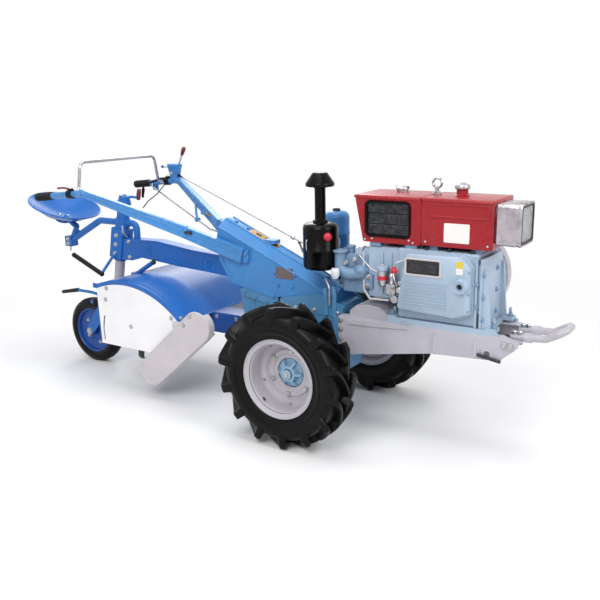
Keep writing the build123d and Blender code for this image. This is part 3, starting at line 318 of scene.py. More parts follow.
class Shape:
    """A mesh under construction. Faces take the finish that self.finish names when they are added."""

    def __init__(self, finish):
        self.bm = bmesh.new()
        self.finishes = [finish]
        self.use(finish)

    def use(self, finish):
        if finish not in self.finishes:
            self.finishes.append(finish)
        self.index = self.finishes.index(finish)
        return self

    def face(self, verts):
        try:
            self.bm.faces.new(verts).material_index = self.index
        except ValueError:
            pass

    def skin(self, rings, caps=True, loop=False):
        """Joins rings of points in turn; caps closes the ends, loop joins the last ring to the first."""
        rows = [[self.bm.verts.new(p) for p in ring] for ring in rings]
        pairs = list(zip(rows, rows[1:])) + ([(rows[-1], rows[0])] if loop else [])
        for a, b in pairs:
            n = len(a)
            for i in range(n):
                j = (i + 1) % n
                self.face([a[i], a[j], b[j], b[i]])
        if caps and not loop:
            self.face(rows[0])
            self.face(list(reversed(rows[-1])))
        return self

    def prism(self, outline, axis, a0, a1):
        """A plate of that outline between two stations along an axis ("y" outlines are (x, z))."""
        u, v, w = AXES[axis]
        return self.skin([[u * p[0] + v * p[1] + w * a for p in outline] for a in (a0, a1)])

    def plate(self, outline, y0, y1):
        """An upright plate of an (x, z) outline between two stations."""
        return self.prism(outline, "y", min(y0, y1), max(y0, y1))

    def box(self, x0, x1, y0, y1, z0, z1):
        return self.prism([(x0, y0), (x1, y0), (x1, y1), (x0, y1)], "z", z0, z1)

    def sweep(self, path, ring):
        """A flat ring of (across, up) points carried along a path."""
        path = [Vector(p) for p in path]
        direction = (path[1] - path[0]).normalized()
        side = direction.cross(Vector((0, 0, 1)))
        side = (side if side.length > 1e-3 else Vector((0, 1, 0))).normalized()
        rings = []
        for i, p in enumerate(path):
            ahead = (path[min(i + 1, len(path) - 1)] - path[max(i - 1, 0)]).normalized()
            side = (side - ahead * side.dot(ahead)).normalized()
            up = side.cross(ahead)
            rings.append([p + side * a + up * b for a, b in ring])
        return self.skin(rings)

    def pipe(self, points, r, bend=0, n=16, steps=6):
        path = rounded_path(points, bend, steps) if bend else points
        return self.sweep(path, [(r * cos(2 * pi * i / n), r * sin(2 * pi * i / n)) for i in range(n)])

    def lathe(self, profile, centre, axis="y", n=48, closed=False):
        """Turns a profile of (radius, height) about an axis through centre; axis may be any direction."""
        if isinstance(axis, str):
            u, v, w = AXES[axis]
        else:
            w = Vector(axis).normalized()
            u = w.orthogonal().normalized()
            v = w.cross(u)
        c = Vector(centre)
        rings = []
        for r, h in profile:
            r = max(r, THIN)
            rings.append([c + w * h + (u * cos(2 * pi * i / n) + v * sin(2 * pi * i / n)) * r
                          for i in range(n)])
        return self.skin(rings, caps=not closed, loop=closed)

    def ring(self, r0, r1, h0, h1, centre, axis="y", n=28):
        """A square-edged ring between two radii and two heights."""
        return self.lathe([(r0, h0), (r1, h0), (r1, h1), (r0, h1)], centre, axis, n, closed=True)

    def rod(self, p, q, r, r2=None, n=16):
        p, q = Vector(p), Vector(q)
        return self.lathe([(r, 0), (r if r2 is None else r2, (q - p).length)], p, q - p, n)

    def ball(self, centre, r, n=16, flatten=1.0):
        m = n // 2
        return self.lathe([(r * sin(pi * i / m), -r * flatten * cos(pi * i / m)) for i in range(m + 1)],
                          centre, "z", n)

    def bolt(self, place, out, flats=13.0, height=6.0):
        """A hexagon head with its washer and chamfered top."""
        w = Vector(out).normalized()
        self.lathe([(flats * 0.78, 0), (flats * 0.78, 1.6), (flats * 0.74, 2)], place, w, 20)
        r = flats / 2 / cos(pi / 6)
        return self.lathe([(r, 0), (r, height * 0.8), (r * 0.86, height), (r * 0.5, height + 0.4)],
                          place, w, 6)

    def screw(self, place, out, r=5.0):
        """A domed head."""
        return self.lathe([(r, 0), (r, r * 0.25), (r * 0.8, r * 0.55), (r * 0.4, r * 0.7)], place, out, 14)

    def bolts(self, y, places, flats=13.0, height=6.0):
        """Bolts at (x, z) places on an upright face at that station, heads outward."""
        for x, z in places:
            self.bolt((x, y, z), (0, 1 if y > 0 else -1, 0), flats, height)
        return self

    def bolt_circle(self, centre, out, r, count, first, flats, height):
        """Bolts evenly round an upright face that looks left (out 1) or right (out -1)."""
        for place in around(centre, r, count, first):
            self.bolt(place, (0, out, 0), flats, height)
        return self

    def screws(self, y, places, r=5.0):
        for x, z in places:
            self.screw((x, y, z), (0, 1 if y > 0 else -1, 0), r)
        return self

    def cad(self, node):
        """Adds the CAD node's own mesh, its flat triangles joined."""
        source = frame["nodes"][node].data
        before = len(self.bm.verts)
        made = [self.bm.verts.new((v.co.x / MM - AXLE, v.co.y / MM, v.co.z / MM)) for v in source.vertices]
        for polygon in source.polygons:
            self.face([made[i] for i in polygon.vertices])
        bmesh.ops.remove_doubles(self.bm, verts=made, dist=0.02)
        fresh = list(self.bm.verts)[before:]
        keep = set(fresh)
        edges = [e for e in self.bm.edges if e.verts[0] in keep]
        bmesh.ops.dissolve_limit(self.bm, angle_limit=radians(1.0), verts=fresh, edges=edges,
                                 delimit={"MATERIAL"})
        return self

    def make(self, name, node, replaces=None, bevel=0.0, segments=2, sharp=38):
        """Writes the mesh as a piece that rides on the node's body."""
        bm = self.bm
        bmesh.ops.remove_doubles(bm, verts=bm.verts, dist=THIN)
        bmesh.ops.recalc_face_normals(bm, faces=bm.faces)
        for v in bm.verts:
            v.co = ((v.co.x + AXLE) * MM, v.co.y * MM, v.co.z * MM)
        mesh = bpy.data.meshes.new(name)
        bm.to_mesh(mesh)
        bm.free()
        for finish in self.finishes:
            mesh.materials.append(FINISHES[finish].material)
        mesh.shade_smooth()
        mesh.set_sharp_from_angle(angle=radians(sharp))
        obj = bpy.data.objects.new(name, mesh)
        bpy.context.scene.collection.objects.link(obj)
        if bevel:
            modifier = obj.modifiers.new("edges", "BEVEL")
            modifier.width = bevel * MM
            modifier.segments = segments
            modifier.limit_method = "ANGLE"
            modifier.angle_limit = radians(sharp)
            modifier.harden_normals = True
        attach(obj, BODY_OF[node])
        if replaces:
            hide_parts(replaces)
        return obj

    def stand_in(self, node, name="", **edges):
        """Writes the mesh as the piece that takes the CAD node's place."""
        return self.make(name or node + "_skin", node, node, **edges)


def row(count, first, step):
    """count numbers from first on, step apart."""
    return [first + step * i for i in range(count)]


def around(centre, r, count, first=0.0):
    """Places evenly round an upright circle that faces sideways, the first turned by that angle."""
    x, y, z = centre
    angles = row(count, first, 2 * pi / count)
    return [Vector((x + r * cos(a), y, z + r * sin(a))) for a in angles]


# ---------------------------------------------------------------- drive wheels
LUGS = 14               # on each side of the tread
FIRST_LUG = -3.8        # degrees that the first lug is turned back
CARCASS_R = 277
DISC = -40              # the wheel disc's face, outboard of the tyre's middle plane
VALVE_TURN = -128       # degrees
# along a lug, from the tread's middle to the sidewall: turn in degrees, width factor,
# (station, radius) of its crest and (station, radius) inside the carcass
LUG_LINE = [(-1.5, 0.95, -6, 311.5, -4, 276), (7, 1.0, 20, 311.5, 18, 275), (14, 1.08, 42, 311, 38, 270),
            (18.5, 1.2, 60, 310, 52, 262), (21, 1.35, 73, 307, 60, 254), (21.8, 1.4, 79, 299, 66, 248),
            (22, 1.3, 80.5, 278, 70, 240), (22, 1.1, 79.5, 248, 73, 232)]
# across a lug: half width, and how far up from its root to its crest
LUG_SECTION = [(-19, 0.0), (-13, 0.55), (-11.5, 0.92), (-9, 1.0),
               (9, 1.0), (11.5, 0.92), (13, 0.55), (19, 0.0)]
# half of the carcass from bead to crown, as (radius, station)
TYRE_SIDE = [(152, 50), (153, 54), (160, 55), (172, 55), (176, 58), (179, 64), (186, 67), (196, 70),
             (206, 74), (222, 77.5), (238, 78.5), (252, 76), (264, 70), (CARCASS_R - 6, 56),
             (CARCASS_R - 2, 34), (CARCASS_R, 12)]
# rim and dished disc in one closed section, outboard stations positive
RIM_OUTER = [(66, DISC - 2), (66, DISC + 1), (70, DISC), (84, DISC), (87, DISC + 5), (104, DISC + 5),
             (108, DISC), (112, DISC), (115, DISC + 2), (120, DISC + 15), (123, DISC + 18),
             (138, DISC + 18), (144, DISC + 21), (146, DISC + 26), (146.5, 38), (148, 46), (152, 51),
             (158, 55), (166, 58), (171, 62), (173, 66), (174.5, 65.5), (174.5, 62), (170, 58), (160, 57)]
RIM_INNER = [(153, 54), (152, 40), (152, -46), (153, -54), (160, -57), (170, -58), (174.5, -62),
             (174.5, -65.5), (173, -66), (171, -62), (166, -58), (158, -55), (152, -51), (148, -46),
             (146, -44), (146, DISC + 8), (128, DISC + 8), (118, DISC - 2), (108, DISC - 8), (66, DISC - 8)]
HUB_FACE = [(62, DISC - 20), (62, DISC - 3), (60, DISC - 1), (48, DISC - 1), (40, DISC + 1),
            (36, DISC + 14), (35, DISC + 25), (31, DISC + 27), (24, DISC + 27), (24, DISC + 22),
            (18, DISC + 22), (18, DISC - 20)]
HUB_BACK = [(40, -96), (40, -66), (92, -60), (92, -48.5), (40, -48.5), (16, -48.5), (16, -96)]
HUB_RIB = [(30, DISC - 2), (61, DISC - 2), (61, DISC + 9), (52, DISC + 20), (30, DISC + 26)]


def both_halves(half):
    """A closed section from its half: mirrored to the other side of the middle plane."""
    return [(r, -y) for r, y in half] + [(r, y) for r, y in reversed(half)]


def drive_tyre(name):
    b = box(name)
    centre = Vector((0, b.y, b.z))
    carcass = Shape("tyre").lathe(both_halves(TYRE_SIDE), centre, "y", 96, closed=True)
    for r, y in ((188, 69), (210, 76), (216, 77.5)):
        for s in BOTH:
            rib = ((-1.6, -3), (-1.2, 0), (1.2, 0.3), (1.6, -3))
            carcass.lathe([(r + dr, s * (y + dy)) for dr, dy in rib], centre, "y", 96, closed=True)
    carcass.stand_in(name, name + "_carcass", sharp=50)
    lugs = Shape("tyre")
    line, crest, root = (curve_through([(p[i], p[i + 1], 0) for p in LUG_LINE], 3) for i in (0, 2, 4))
    for s in BOTH:
        for i in range(LUGS):
            start = FIRST_LUG + 360 / LUGS * (i + (0.5 if s > 0 else 0))
            rings = []
            for (turn, wide, _), top, low in zip(line, crest, root):
                ring = []
                for half, part in LUG_SECTION:
                    p = low.lerp(top, part)
                    a = radians(start + turn) + half * wide / p.y
                    ring.append(centre + Vector((p.y * cos(a), s * p.x, p.y * sin(a))))
                rings.append(ring)
            lugs.skin(rings)
    lugs.make(name + "_lugs", name, sharp=50)


def rim_and_hub(side, out):
    name, hub = "rim_" + side, "hub_" + side
    b, inner = box(name), box(hub)
    centre = Vector((0, b.y, b.z))

    def section(profile):
        return [(r, out * y) for r, y in profile]

    def at(r, turn, y):
        return centre + Vector((r * cos(radians(turn)), out * y, r * sin(radians(turn))))
    rim = Shape("rim").lathe(section(RIM_OUTER + RIM_INNER), centre, "y", 96, closed=True)
    rim.stand_in(name, sharp=32)
    trim = Shape("zinc")
    circles = ((6, 96, 24, DISC + 3.5, 19, 10), (5, 136, 57, DISC + 16.5, 11, 6))
    for count, r, first, y, flats, height in circles:
        for turn in row(count, first, 360 / count):
            trim.bolt(at(r, turn, y), (0, out, 0), flats, height)
    stem = [at(r, VALVE_TURN, y) for r, y in ((150, 30), (136, 46), (126, 56), (122, 60))]
    trim.use("rubber").rod(stem[0], stem[1], 5.5, 4)
    trim.use("brass").rod(stem[1], stem[2], 3.6, 3.2)
    trim.use("black").rod(stem[2], stem[3], 4.6, 4)
    trim.make(name + "_bolts", name)

    s = Shape("hub").lathe(section(HUB_FACE), centre, "y", 48, closed=True)
    for turn in row(6, 0, 60):
        s.skin([[at(r, turn + degrees(half / r), y) for r, y in HUB_RIB] for half in (-5, 5)])
    s.lathe(section(HUB_BACK), centre, "y", 64, closed=True)
    for turn in row(6, 4, 60):
        s.bolt(at(74, turn, -60), (0, -out, 0), 17, 8)
    shaft_in = inner.y0 if out > 0 else inner.y1
    length = abs(b.y) - abs(shaft_in) - 8
    s.use("steel").lathe([(0, 0), (22, 0), (22, length)], (0, shaft_in, b.z), (0, out, 0), 32)
    cap = [(0, 0), (20, 0), (22, 2), (22, 26), (0, 26)]
    s.use("hub").lathe(cap, (0, b.y + out * (DISC + 8), b.z), (0, out, 0), 32)
    s.use("zinc").bolt((0, b.y + out * (DISC + 34), b.z), (0, out, 0), 20, 8)
    s.stand_in(hub, bevel=0.8)


for side, out in SIDES:
    drive_tyre("tyre_" + side)
    rim_and_hub(side, out)


# ---------------------------------------------------------------- hopper, tank, caps and lamp
LID = 15                # depth of the folded lid round the top of the hopper and tank


def upright(outline, y):
    """The (x, z) outline as a ring of points at station y."""
    return [(x, y, z) for x, z in outline]


def raised_frame(s, outer, inner, y, steps):
    """A pressed frame between two outlines on a face that looks right, steps out from y."""
    rings = zip((outer, outer, inner, inner), steps)
    return s.skin([upright(outline, y + step) for outline, step in rings])


def bent_box(s, b, lean, skirt, window=None):
    """Sheet-metal box with a folded lid; its back wall leans in at the bottom by lean."""
    z0, z1 = b.z0 + skirt, b.z1 - LID + 3
    back, corner = (b.x0 + 3, 12) if lean else (b.x0 + 0.5, 6)
    side = rounded([(back + lean, z0), (b.x1 - 0.5, z0), (b.x1 - 0.5, z1), (back, z1)], 9)
    rings = []
    if window:
        wide = [(x + (4 if x > b.x else -4), z + (4 if z > b.z else -4)) for x, z in window]
        rings = [upright(window, b.y0 + 18), upright(window, b.y0 + 3), upright(wide, b.y0 + 1.5)]
    s.skin(rings + [upright(side, b.y0 + 1.5), upright(side, b.y1 - 1.5)])
    lid = rectangle(b.x0 - 4 if lean else b.x0, b.x1, b.y0 - 1.5, b.y1 + 1.5, corner)
    small = rectangle(b.x0 + 8, b.x1 - 6, b.y0 + 8, b.y1 - 8, 12 if lean else 6)
    fold = [(x + (b.x - x) * 0.015, y * 0.98) for x, y in lid]
    levels = ((lid, LID), (lid, 5), (fold, 1.5), (small, 0))
    s.skin([[(x, y, b.z1 - down) for x, y in outline] for outline, down in levels])


def hopper():
    name = "radiator_housing"
    b, g = box(name), box("radiator_grille")
    s = Shape("red")
    bent_box(s, b, 38, 14, rectangle(g.x0 + 2, g.x1 - 2, g.z0 + 2, g.z1 - 2, 24))
    s.stand_in(name, bevel=3, segments=3)
    trim = Shape("zinc")
    trim.screws(b.y0 + 1, ((g.x0 + 36, g.z0 - 6), (g.x1 - 8, g.z0 - 4), (b.x0 + 50, b.z0 + 24),
                           (b.x1 - 34, b.z0 + 24)), 5.5)
    trim.use("casting")
    for y in (b.y0 + 8, b.y1 - 38):
        for x in (b.x0 + 70, b.x1 - 70):
            trim.box(x, x + 50, y, y + 30, b.z0 - 2, b.z0 + 18)
    trim.make("hopper_screws", name, bevel=0.8)

    s = Shape("black")
    y0 = g.y0 + 1
    outer = rectangle(g.x0 + 3, g.x1 - 3, g.z0 + 3, g.z1 - 3, 23)
    inner = rectangle(g.x0 + 17, g.x1 - 9, g.z0 + 12, g.z1 - 10, 12)
    s.skin([upright(outer, y0 + 8), upright(outer, y0 - 9), upright(inner, y0 - 9), upright(inner, y0 + 8)],
           loop=True)
    s.use("dark")
    rows, slats = 3, 9
    high = (g.z1 - 10 - g.z0 - 12) / rows
    for z in row(rows, g.z0 + 12, high):
        s.box(g.x0 + 14, g.x1 - 6, y0 - 1, y0 + 3, z + 1.5, z + high - 1.5)
        for zk in row(slats, z + 4, (high - 8) / slats):
            s.prism([(y0 - 1, zk), (y0 - 4, zk + 0.8), (y0 - 1, zk + 4)], "x", g.x0 + 18, g.x1 - 10)
    s.use("black").box(g.x0 + 4, g.x1 - 4, y0 + 2, g.y1, g.z0 + 4, g.z1 - 4)
    s.stand_in("radiator_grille", "grille_panels", bevel=0.6)


def tank():
    name = "fuel_tank"
    b = box(name)
    s = Shape("red")
    raised = SimpleNamespace(**vars(b))
    raised.z0 = b.z0 + 16
    bent_box(s, raised, 0, 2)
    x0, x1, z0, z1 = b.x0 + 34, b.x1 - 14, b.z1 - 77, b.z1 - 20
    outer, inner = rectangle(x0, x1, z0, z1, 9), rectangle(x0 + 7, x1 - 7, z0 + 7, z1 - 7, 6)
    y = b.y0 + 1.5
    raised_frame(s, outer, inner, y, (2, -4, -4, -0.4))
    s.stand_in(name, bevel=2.5, segments=3)
    trim = Shape("label").plate(rectangle(b.x0 + 99, b.x0 + 205, b.z0 + 38, b.z0 + 115, 5), y - 1.6, y + 1)
    trim.use("zinc").screws(y, ((b.x0 + 20, b.z0 + 34), (b.x1 - 22, b.z0 + 34)))
    trim.use("casting")
    for x in (b.x0 + 30, b.x1 - 90):
        trim.box(x, x + 36, b.y0 + 20, b.y1 - 20, b.z0, b.z0 + 20)
    trim.use("dark")
    for x in row(3, b.x0 + 24, 96):
        trim.bolt((x, b.y0 + 12, b.z0 + 2), (0, 0, 1), 13, 10)
    trim.make("tank_fittings", name, bevel=0.5)


def caps():
    b = box("radiator_cap")
    foot = (b.x, b.y, b.z0)
    s = Shape("steel")
    s.lathe([(0, 0), (24, 0), (24, 7), (28, 8), (28.5, 12), (27, 18), (20, 22), (9, 23), (8, 26), (0, 26)],
            foot, "z", 40)
    s.use("dark")
    for x in (b.x - 28, b.x + 20):
        s.box(x, x + 8, b.y - 7, b.y + 7, b.z0 + 8, b.z0 + 22)
    s.stand_in("radiator_cap", bevel=0.8)
    b = box("fuel_cap")
    foot = (b.x, b.y, b.z0)
    s = Shape("red")
    s.lathe([(0, 0), (30, 0), (30, 3), (24, 7), (23, 24), (26, 27), (26, 30), (0, 30)], foot, "z", 40)
    s.use("steel").lathe([(0, 28), (29, 28), (30, 31), (30, 40), (27, 45), (18, 48), (10, 52), (0, 52)],
                         foot, "z", 40)
    for turn in row(12, 0, 30):
        x, y = b.x + 29 * cos(radians(turn)), b.y + 29 * sin(radians(turn))
        s.rod((x, y, b.z0 + 31), (x, y, b.z0 + 42), 2, n=8)
    s.stand_in("fuel_cap", bevel=0.5)
    b = box("lifting_eye")
    s = Shape("chrome")
    middle = Vector((b.x, b.y, b.z1 - 24))
    wire = [(5 * cos(a), 6 * sin(a)) for a in row(10, 0, 2 * pi / 10)]
    s.skin([[middle + Vector((cos(a) * (19 + out), across, sin(a) * (19 + out))) for out, across in wire]
            for a in row(32, 0, 2 * pi / 32)], loop=True)
    s.lathe([(0, 0), (17, 0), (17, 5), (9, 7), (8.5, 26), (0, 26)], (b.x, b.y, b.z0), "z", 24)
    s.bolt((b.x, b.y, b.z0 + 5), (0, 0, 1), 24, 9)
    s.stand_in("lifting_eye")


def lamp():
    b, lens = box("headlamp"), box("headlamp_lens")

    def frames(end, sections):
        """Rounded frames at stations from end, each inset from the lamp's outline."""
        return [[(end + x, y, z) for y, z in
                 rectangle(b.y0 + inset, b.y1 - inset, b.z0 + inset, b.z1 - inset, r)]
                for x, inset, r in sections]
    s = Shape("lamp")
    s.skin(frames(b.x0, ((0, 9, 8), (8, 7, 10), (12, 3, 12)))
           + frames(b.x1, ((-26, 0.5, 14), (-20, 2, 14), (-12, 2, 14), (-8, 0, 15), (-1, 1, 15), (0, 4, 14),
                           (0, 13, 12), (-5, 15, 11), (-34, 22, 14), (-66, 52, 12))))
    s.lathe([(8, -24), (10, 0), (9, 12), (4, 16)], (b.x1 - 40, b.y, b.z), "x", 20)
    s.use("zinc").screws(b.y0 + 1, ((b.x1 - 14, b.z0 + 14), (b.x1 - 14, b.z1 - 14)), 4)
    s.stand_in("headlamp", sharp=42)
    s = Shape("black")
    s.skin(frames(b.x1, ((0.2, 7, 13), (0.4, 8, 13), (0.4, 15, 10), (-6, 16, 10), (-6, 14.5, 11))),
           loop=True)
    s.make("lamp_gasket", "headlamp")
    s = Shape("glass")
    s.skin(frames(lens.x1, ((-5.0, 16, 10), (-2.6, 16.5, 10), (-1.2, 24, 10), (-0.2, 44, 10),
                            (0.1, 66, 10))))
    s.stand_in("headlamp_lens", "lamp_glass")


hopper()
tank()
caps()
lamp()


# ---------------------------------------------------------------- engine
BLOCK_FRONT = 728
BLOCK_RIGHT, BLOCK_LEFT = -114, 116
BELTS, FIRST_BELT, BELT_PITCH = 3, 217, 17


def engine():
    b = box("engine_block")
    s = Shape("engine").cad("engine_block")
    x1, right, left = BLOCK_FRONT, BLOCK_RIGHT, BLOCK_LEFT
    for x in (x1 - 8, x1 + 12):
        s.box(x, x + 9, right - 14, left - 10, b.z0 + 4, b.z1 - 16)
    s.plate([(x1 + 14, b.z0), (x1 + 58, b.z0), (x1 + 54, b.z0 + 52), (x1 + 30, b.z1 - 60),
             (x1 + 14, b.z1 - 50)], right - 4, right + 8)
    s.plate([(x1 + 14, b.z0), (x1 + 50, b.z0), (x1 + 30, b.z1 - 60), (x1 + 14, b.z1 - 50)],
            left - 22, left - 10)
    s.box(x1, x1 + 16, right, left - 10, b.z0 + 60, b.z1 - 40)
    for x in (300, 340):
        s.box(x, x + 7, -104, 104, 640, b.z1 - 30)
    s.stand_in("engine_block", bevel=2)
    trim = Shape("casting")
    for z in row(3, b.z0 + 40, 90):
        for y in (right - 7, 40):
            trim.bolt((x1 + 21, y, z), (1, 0, 0), 15, 8)
    trim.bolts(right - 13, ((x1 - 2, b.z0 + 90), (x1 - 2, b.z0 + 180)), 13, 7)
    trim.make("engine_bolts", "engine_block")

    bed = box("engine_bed")
    top = bed.z1
    s = Shape("engine").cad("engine_bed")
    notch = [(430 + 26 * cos(radians(a)), top - 27 + 20 * sin(radians(a))) for a in range(0, 181, 30)]
    flange = [(bed.x0 - 24, top - 27), (bed.x0 - 24, top - 6), (bed.x0 + 4, top + 2), (x1 + 70, top + 2),
              (x1 + 92, top - 8), (x1 + 92, top - 27)] + notch
    for y0, edge, out in ((bed.y0, bed.y0 - 3, -1), (bed.y1 - 46, bed.y1 + 3, 1)):
        y1 = y0 + 46
        s.plate(flange, edge, edge - out * 8)
        for x in (bed.x0 - 2, x1 + 60):
            s.box(x - 22, x + 22, y0, y1, top - 8, top + 8)
            s.plate([(x - 6, top + 6), (x + 6, top + 6), (x + 4, top + 40), (x - 4, top + 40)], y0 + 30, y1)
        y = (y0 + y1) / 2
        s.use("casting")
        for x in (bed.x0 - 8, x1 + 66):
            s.rod((x, y, top + 6), (x, y, top + 26), 6, n=12)
            s.bolt((x, y, top + 8), (0, 0, 1), 20, 11)
        s.use("engine")
    s.stand_in("engine_bed", "engine_feet", bevel=1.5)


def timing_cover():
    name = "gear_cover"
    b = box(name)
    face = b.y0 + 22
    outline = rounded([(b.x0, b.z0 + 12), (b.x1 - 60, b.z0), (b.x1, b.z0 + 24), (b.x1, b.z1 - 44),
                       (b.x1 - 44, b.z1), (b.x0 + 42, b.z1)], 12)

    def drawn_in(y, dx, dz):
        kx, kz = 1 - 2 * dx / (b.x1 - b.x0), 1 - 2 * dz / (b.z1 - b.z0)
        return [(b.x + (x - b.x) * kx - dx * 0.5, y, b.z + (z - b.z) * kz) for x, z in outline]
    s = Shape("engine")
    steps = ((b.y1, 0, 0), (b.y1 - 11, 0, 0), (b.y1 - 12, 4, 4), (face + 12, 5, 5), (face + 3, 11, 9),
             (face, 16, 13))
    s.skin([drawn_in(*step) for step in steps])
    for i in range(9):
        z = b.z0 + 34 + i * 13
        s.plate(rectangle(b.x0 + 42 - i, b.x0 + 222, z, z + 4.5, 2), face - 2.6, face + 2)
    x0, x1, z0, z1 = b.x0 + 42, b.x0 + 200, b.z1 - 94, b.z1 - 20
    outer, inner = rectangle(x0, x1, z0, z1, 10), rectangle(x0 + 8, x1 - 8, z0 + 8, z1 - 8, 5)
    raised_frame(s.use("guard"), outer, inner, face, (1, -4, -4, -1.5))
    boss = (b.x1 - 40, face, b.z0 + 143)
    s.use("engine").lathe([(33, 2), (33, -6), (29, -12), (27, -22), (21, -22), (19, -18), (14, -17),
                           (12, -20), (12, 2)], boss, "y", 40, closed=True)
    s.use("dark").lathe([(0, -4), (12.5, -4), (12.5, 0), (0, 0)], boss, "y", 24)
    s.use("plate").plate(inner, face - 3, face - 1)
    s.use("dark")
    for x in (x0 + 40, x1 - 52):
        s.plate(rectangle(x, x + 32, z0 + 18, z1 - 28, 2), face - 3.8, face - 2)
    for finish, low, high in (("yellow", 46, 20), ("label", 72, 47)):
        label = rectangle(b.x1 - 62, b.x1 - 34, b.z1 - low, b.z1 - high, 3)
        s.use(finish).plate(label, face - 1.2, face + 1)
    s.stand_in(name, bevel=0.8)
    trim = Shape("casting").screws(face + 8, (
        (b.x0 + 26, b.z0 + 24), (b.x0 + 110, b.z0 + 18), (b.x0 + 200, b.z0 + 14), (b.x1 - 62, b.z0 + 12),
        (b.x1 - 14, b.z0 + 42), (b.x1 - 12, b.z0 + 110), (b.x1 - 12, b.z1 - 62), (b.x1 - 54, b.z1 - 14),
        (b.x0 + 130, b.z1 - 12), (b.x0 + 52, b.z1 - 12), (b.x0 + 20, b.z0 + 120)), 5.5)
    trim.make("cover_screws", name)


def head():
    name = "cylinder_head"
    b = box(name)
    x0, z0, z1 = b.x0, b.z0, b.z1
    s = Shape("casting").cad(name)
    for x in row(4, x0 + 46, 19):
        s.box(x, x + 4, b.y0 - 3, b.y1 + 3, z0 + 24, z1 - 20)
    s.pipe([(x0 + 30, -104, z1 + 16), (x0 + 30, -106, z0 + 100), (x0 + 74, -108, z0 + 84),
            (x0 + 150, -100, z0 + 92)], 25, 42, 24, 8)
    s.lathe([(34, 0), (34, 8), (27, 12), (27, 0)], (x0 + 30, -104, z1 + 6), "z", 32, closed=True)
    s.ball((x0 + 132, -98, z0 + 104), 34, 24, 0.8)
    s.lathe([(0, 0), (15, 0), (15, 22), (19, 24), (19, 32), (10, 36), (0, 36)],
            (x0 + 62, -62, z1 - 2), "z", 28)
    s.box(x0 + 40, x0 + 120, -98, -80, z0 + 120, z0 + 160)
    s.box(x0 + 150, x0 + 190, -112, -60, z0 + 30, z0 + 90)
    s.stand_in(name, bevel=2.5)
    trim = Shape("zinc")
    for y in (-50, 0, 50):
        for z in (z0 + 30, z1 - 40):
            trim.bolt((x0 + 1, y, z), (-1, 0, 0), 15, 9)
    trim.bolts(-112, ((x0 + 60, z0 + 132), (x0 + 104, z0 + 150), (x0 + 170, z0 + 80),
                      (x0 + 166, z0 + 40)), 15, 9)
    trim.use("steel")
    for y in (-34, 34):
        trim.pipe([(x0 + 100, y, z1 - 4), (x0 + 110, y, z1 + 30), (x0 + 150, y * 1.4, z1 + 20)], 4, 16, 10)
    trim.pipe([(x0 + 104, -70, z1 - 10), (x0 + 120, -112, z1 + 8), (x0 + 190, -124, z0 + 120),
               (x0 + 262, -130, z0 + 96)], 3.2, 20, 10)
    # a small white cup; its white also paints the highlight that falls there
    cup = [(0, 0), (10, 0), (19, 14), (19, 40), (15, 46), (0, 46)]
    trim.use("cup").lathe(cup, (x0 + 30, -150, z0 + 66), "z", 28)
    trim.make("head_fittings", name)


def fuel_parts():
    """Fuel filter, injection pump, tap and pipes in front of the head."""
    s = Shape("engine")
    x, y = 318, -130
    filter_axis = (x, y, 0)
    s.lathe([(0, 748), (24, 748), (25, 752), (25, 764), (14, 768), (0, 768)], filter_axis, "z", 32)
    s.box(x - 14, x + 14, y, -94, 748, 764)
    s.use("steel").lathe([(0, 672), (7, 672), (9, 680), (19, 686), (21, 694), (21, 746), (0, 748)],
                         filter_axis, "z", 32)
    s.use("bright_red").lathe([(21.6, 708), (21.6, 726), (18, 726), (18, 708)], filter_axis, "z", 32,
                              closed=True)
    s.use("zinc").bolt((x, y, 768), (0, 0, 1), 14, 8)
    s.use("steel").box(340, 382, -142, -98, 646, 694)
    s.lathe([(0, 0), (15, 0), (16, 6), (12, 10), (12, 26), (15, 28), (15, 36), (9, 46), (0, 46)],
            (361, -126, 694), "z", 24)
    s.lathe([(0, 0), (14, 0), (14, 18), (9, 22), (0, 22)], (404, -136, 672), (0, -1, 0.2), 20)
    s.lathe([(0, 0), (12, 0), (12, 14), (16, 16), (16, 22), (0, 22)], (392, -150, 640), (0, -1, 0), 20)
    s.use("zinc").bolts(-142, ((350, 656), (372, 684), (402, 702), (374, 654)), 13, 8)
    s.use("steel").pipe([(366, -138, 740), (372, -150, 770), (390, -146, 790), (420, -126, 800)], 3, 14, 10)
    s.pipe([(396, -150, 690), (388, -160, 720), (376, -150, 752)], 4, 14, 10)
    s.use("bright_red").ball((383, -152, 757), 13, 16, 0.8)
    for place in around((383, -154, 757), 12, 5):
        s.ball(place, 6, 10)
    s.use("guard").pipe([(213, -100, 814), (222, -112, 652), (258, -128, 618), (348, -128, 622)],
                        4.5, 24, 12)
    s.stand_in("fuel_system", bevel=1)


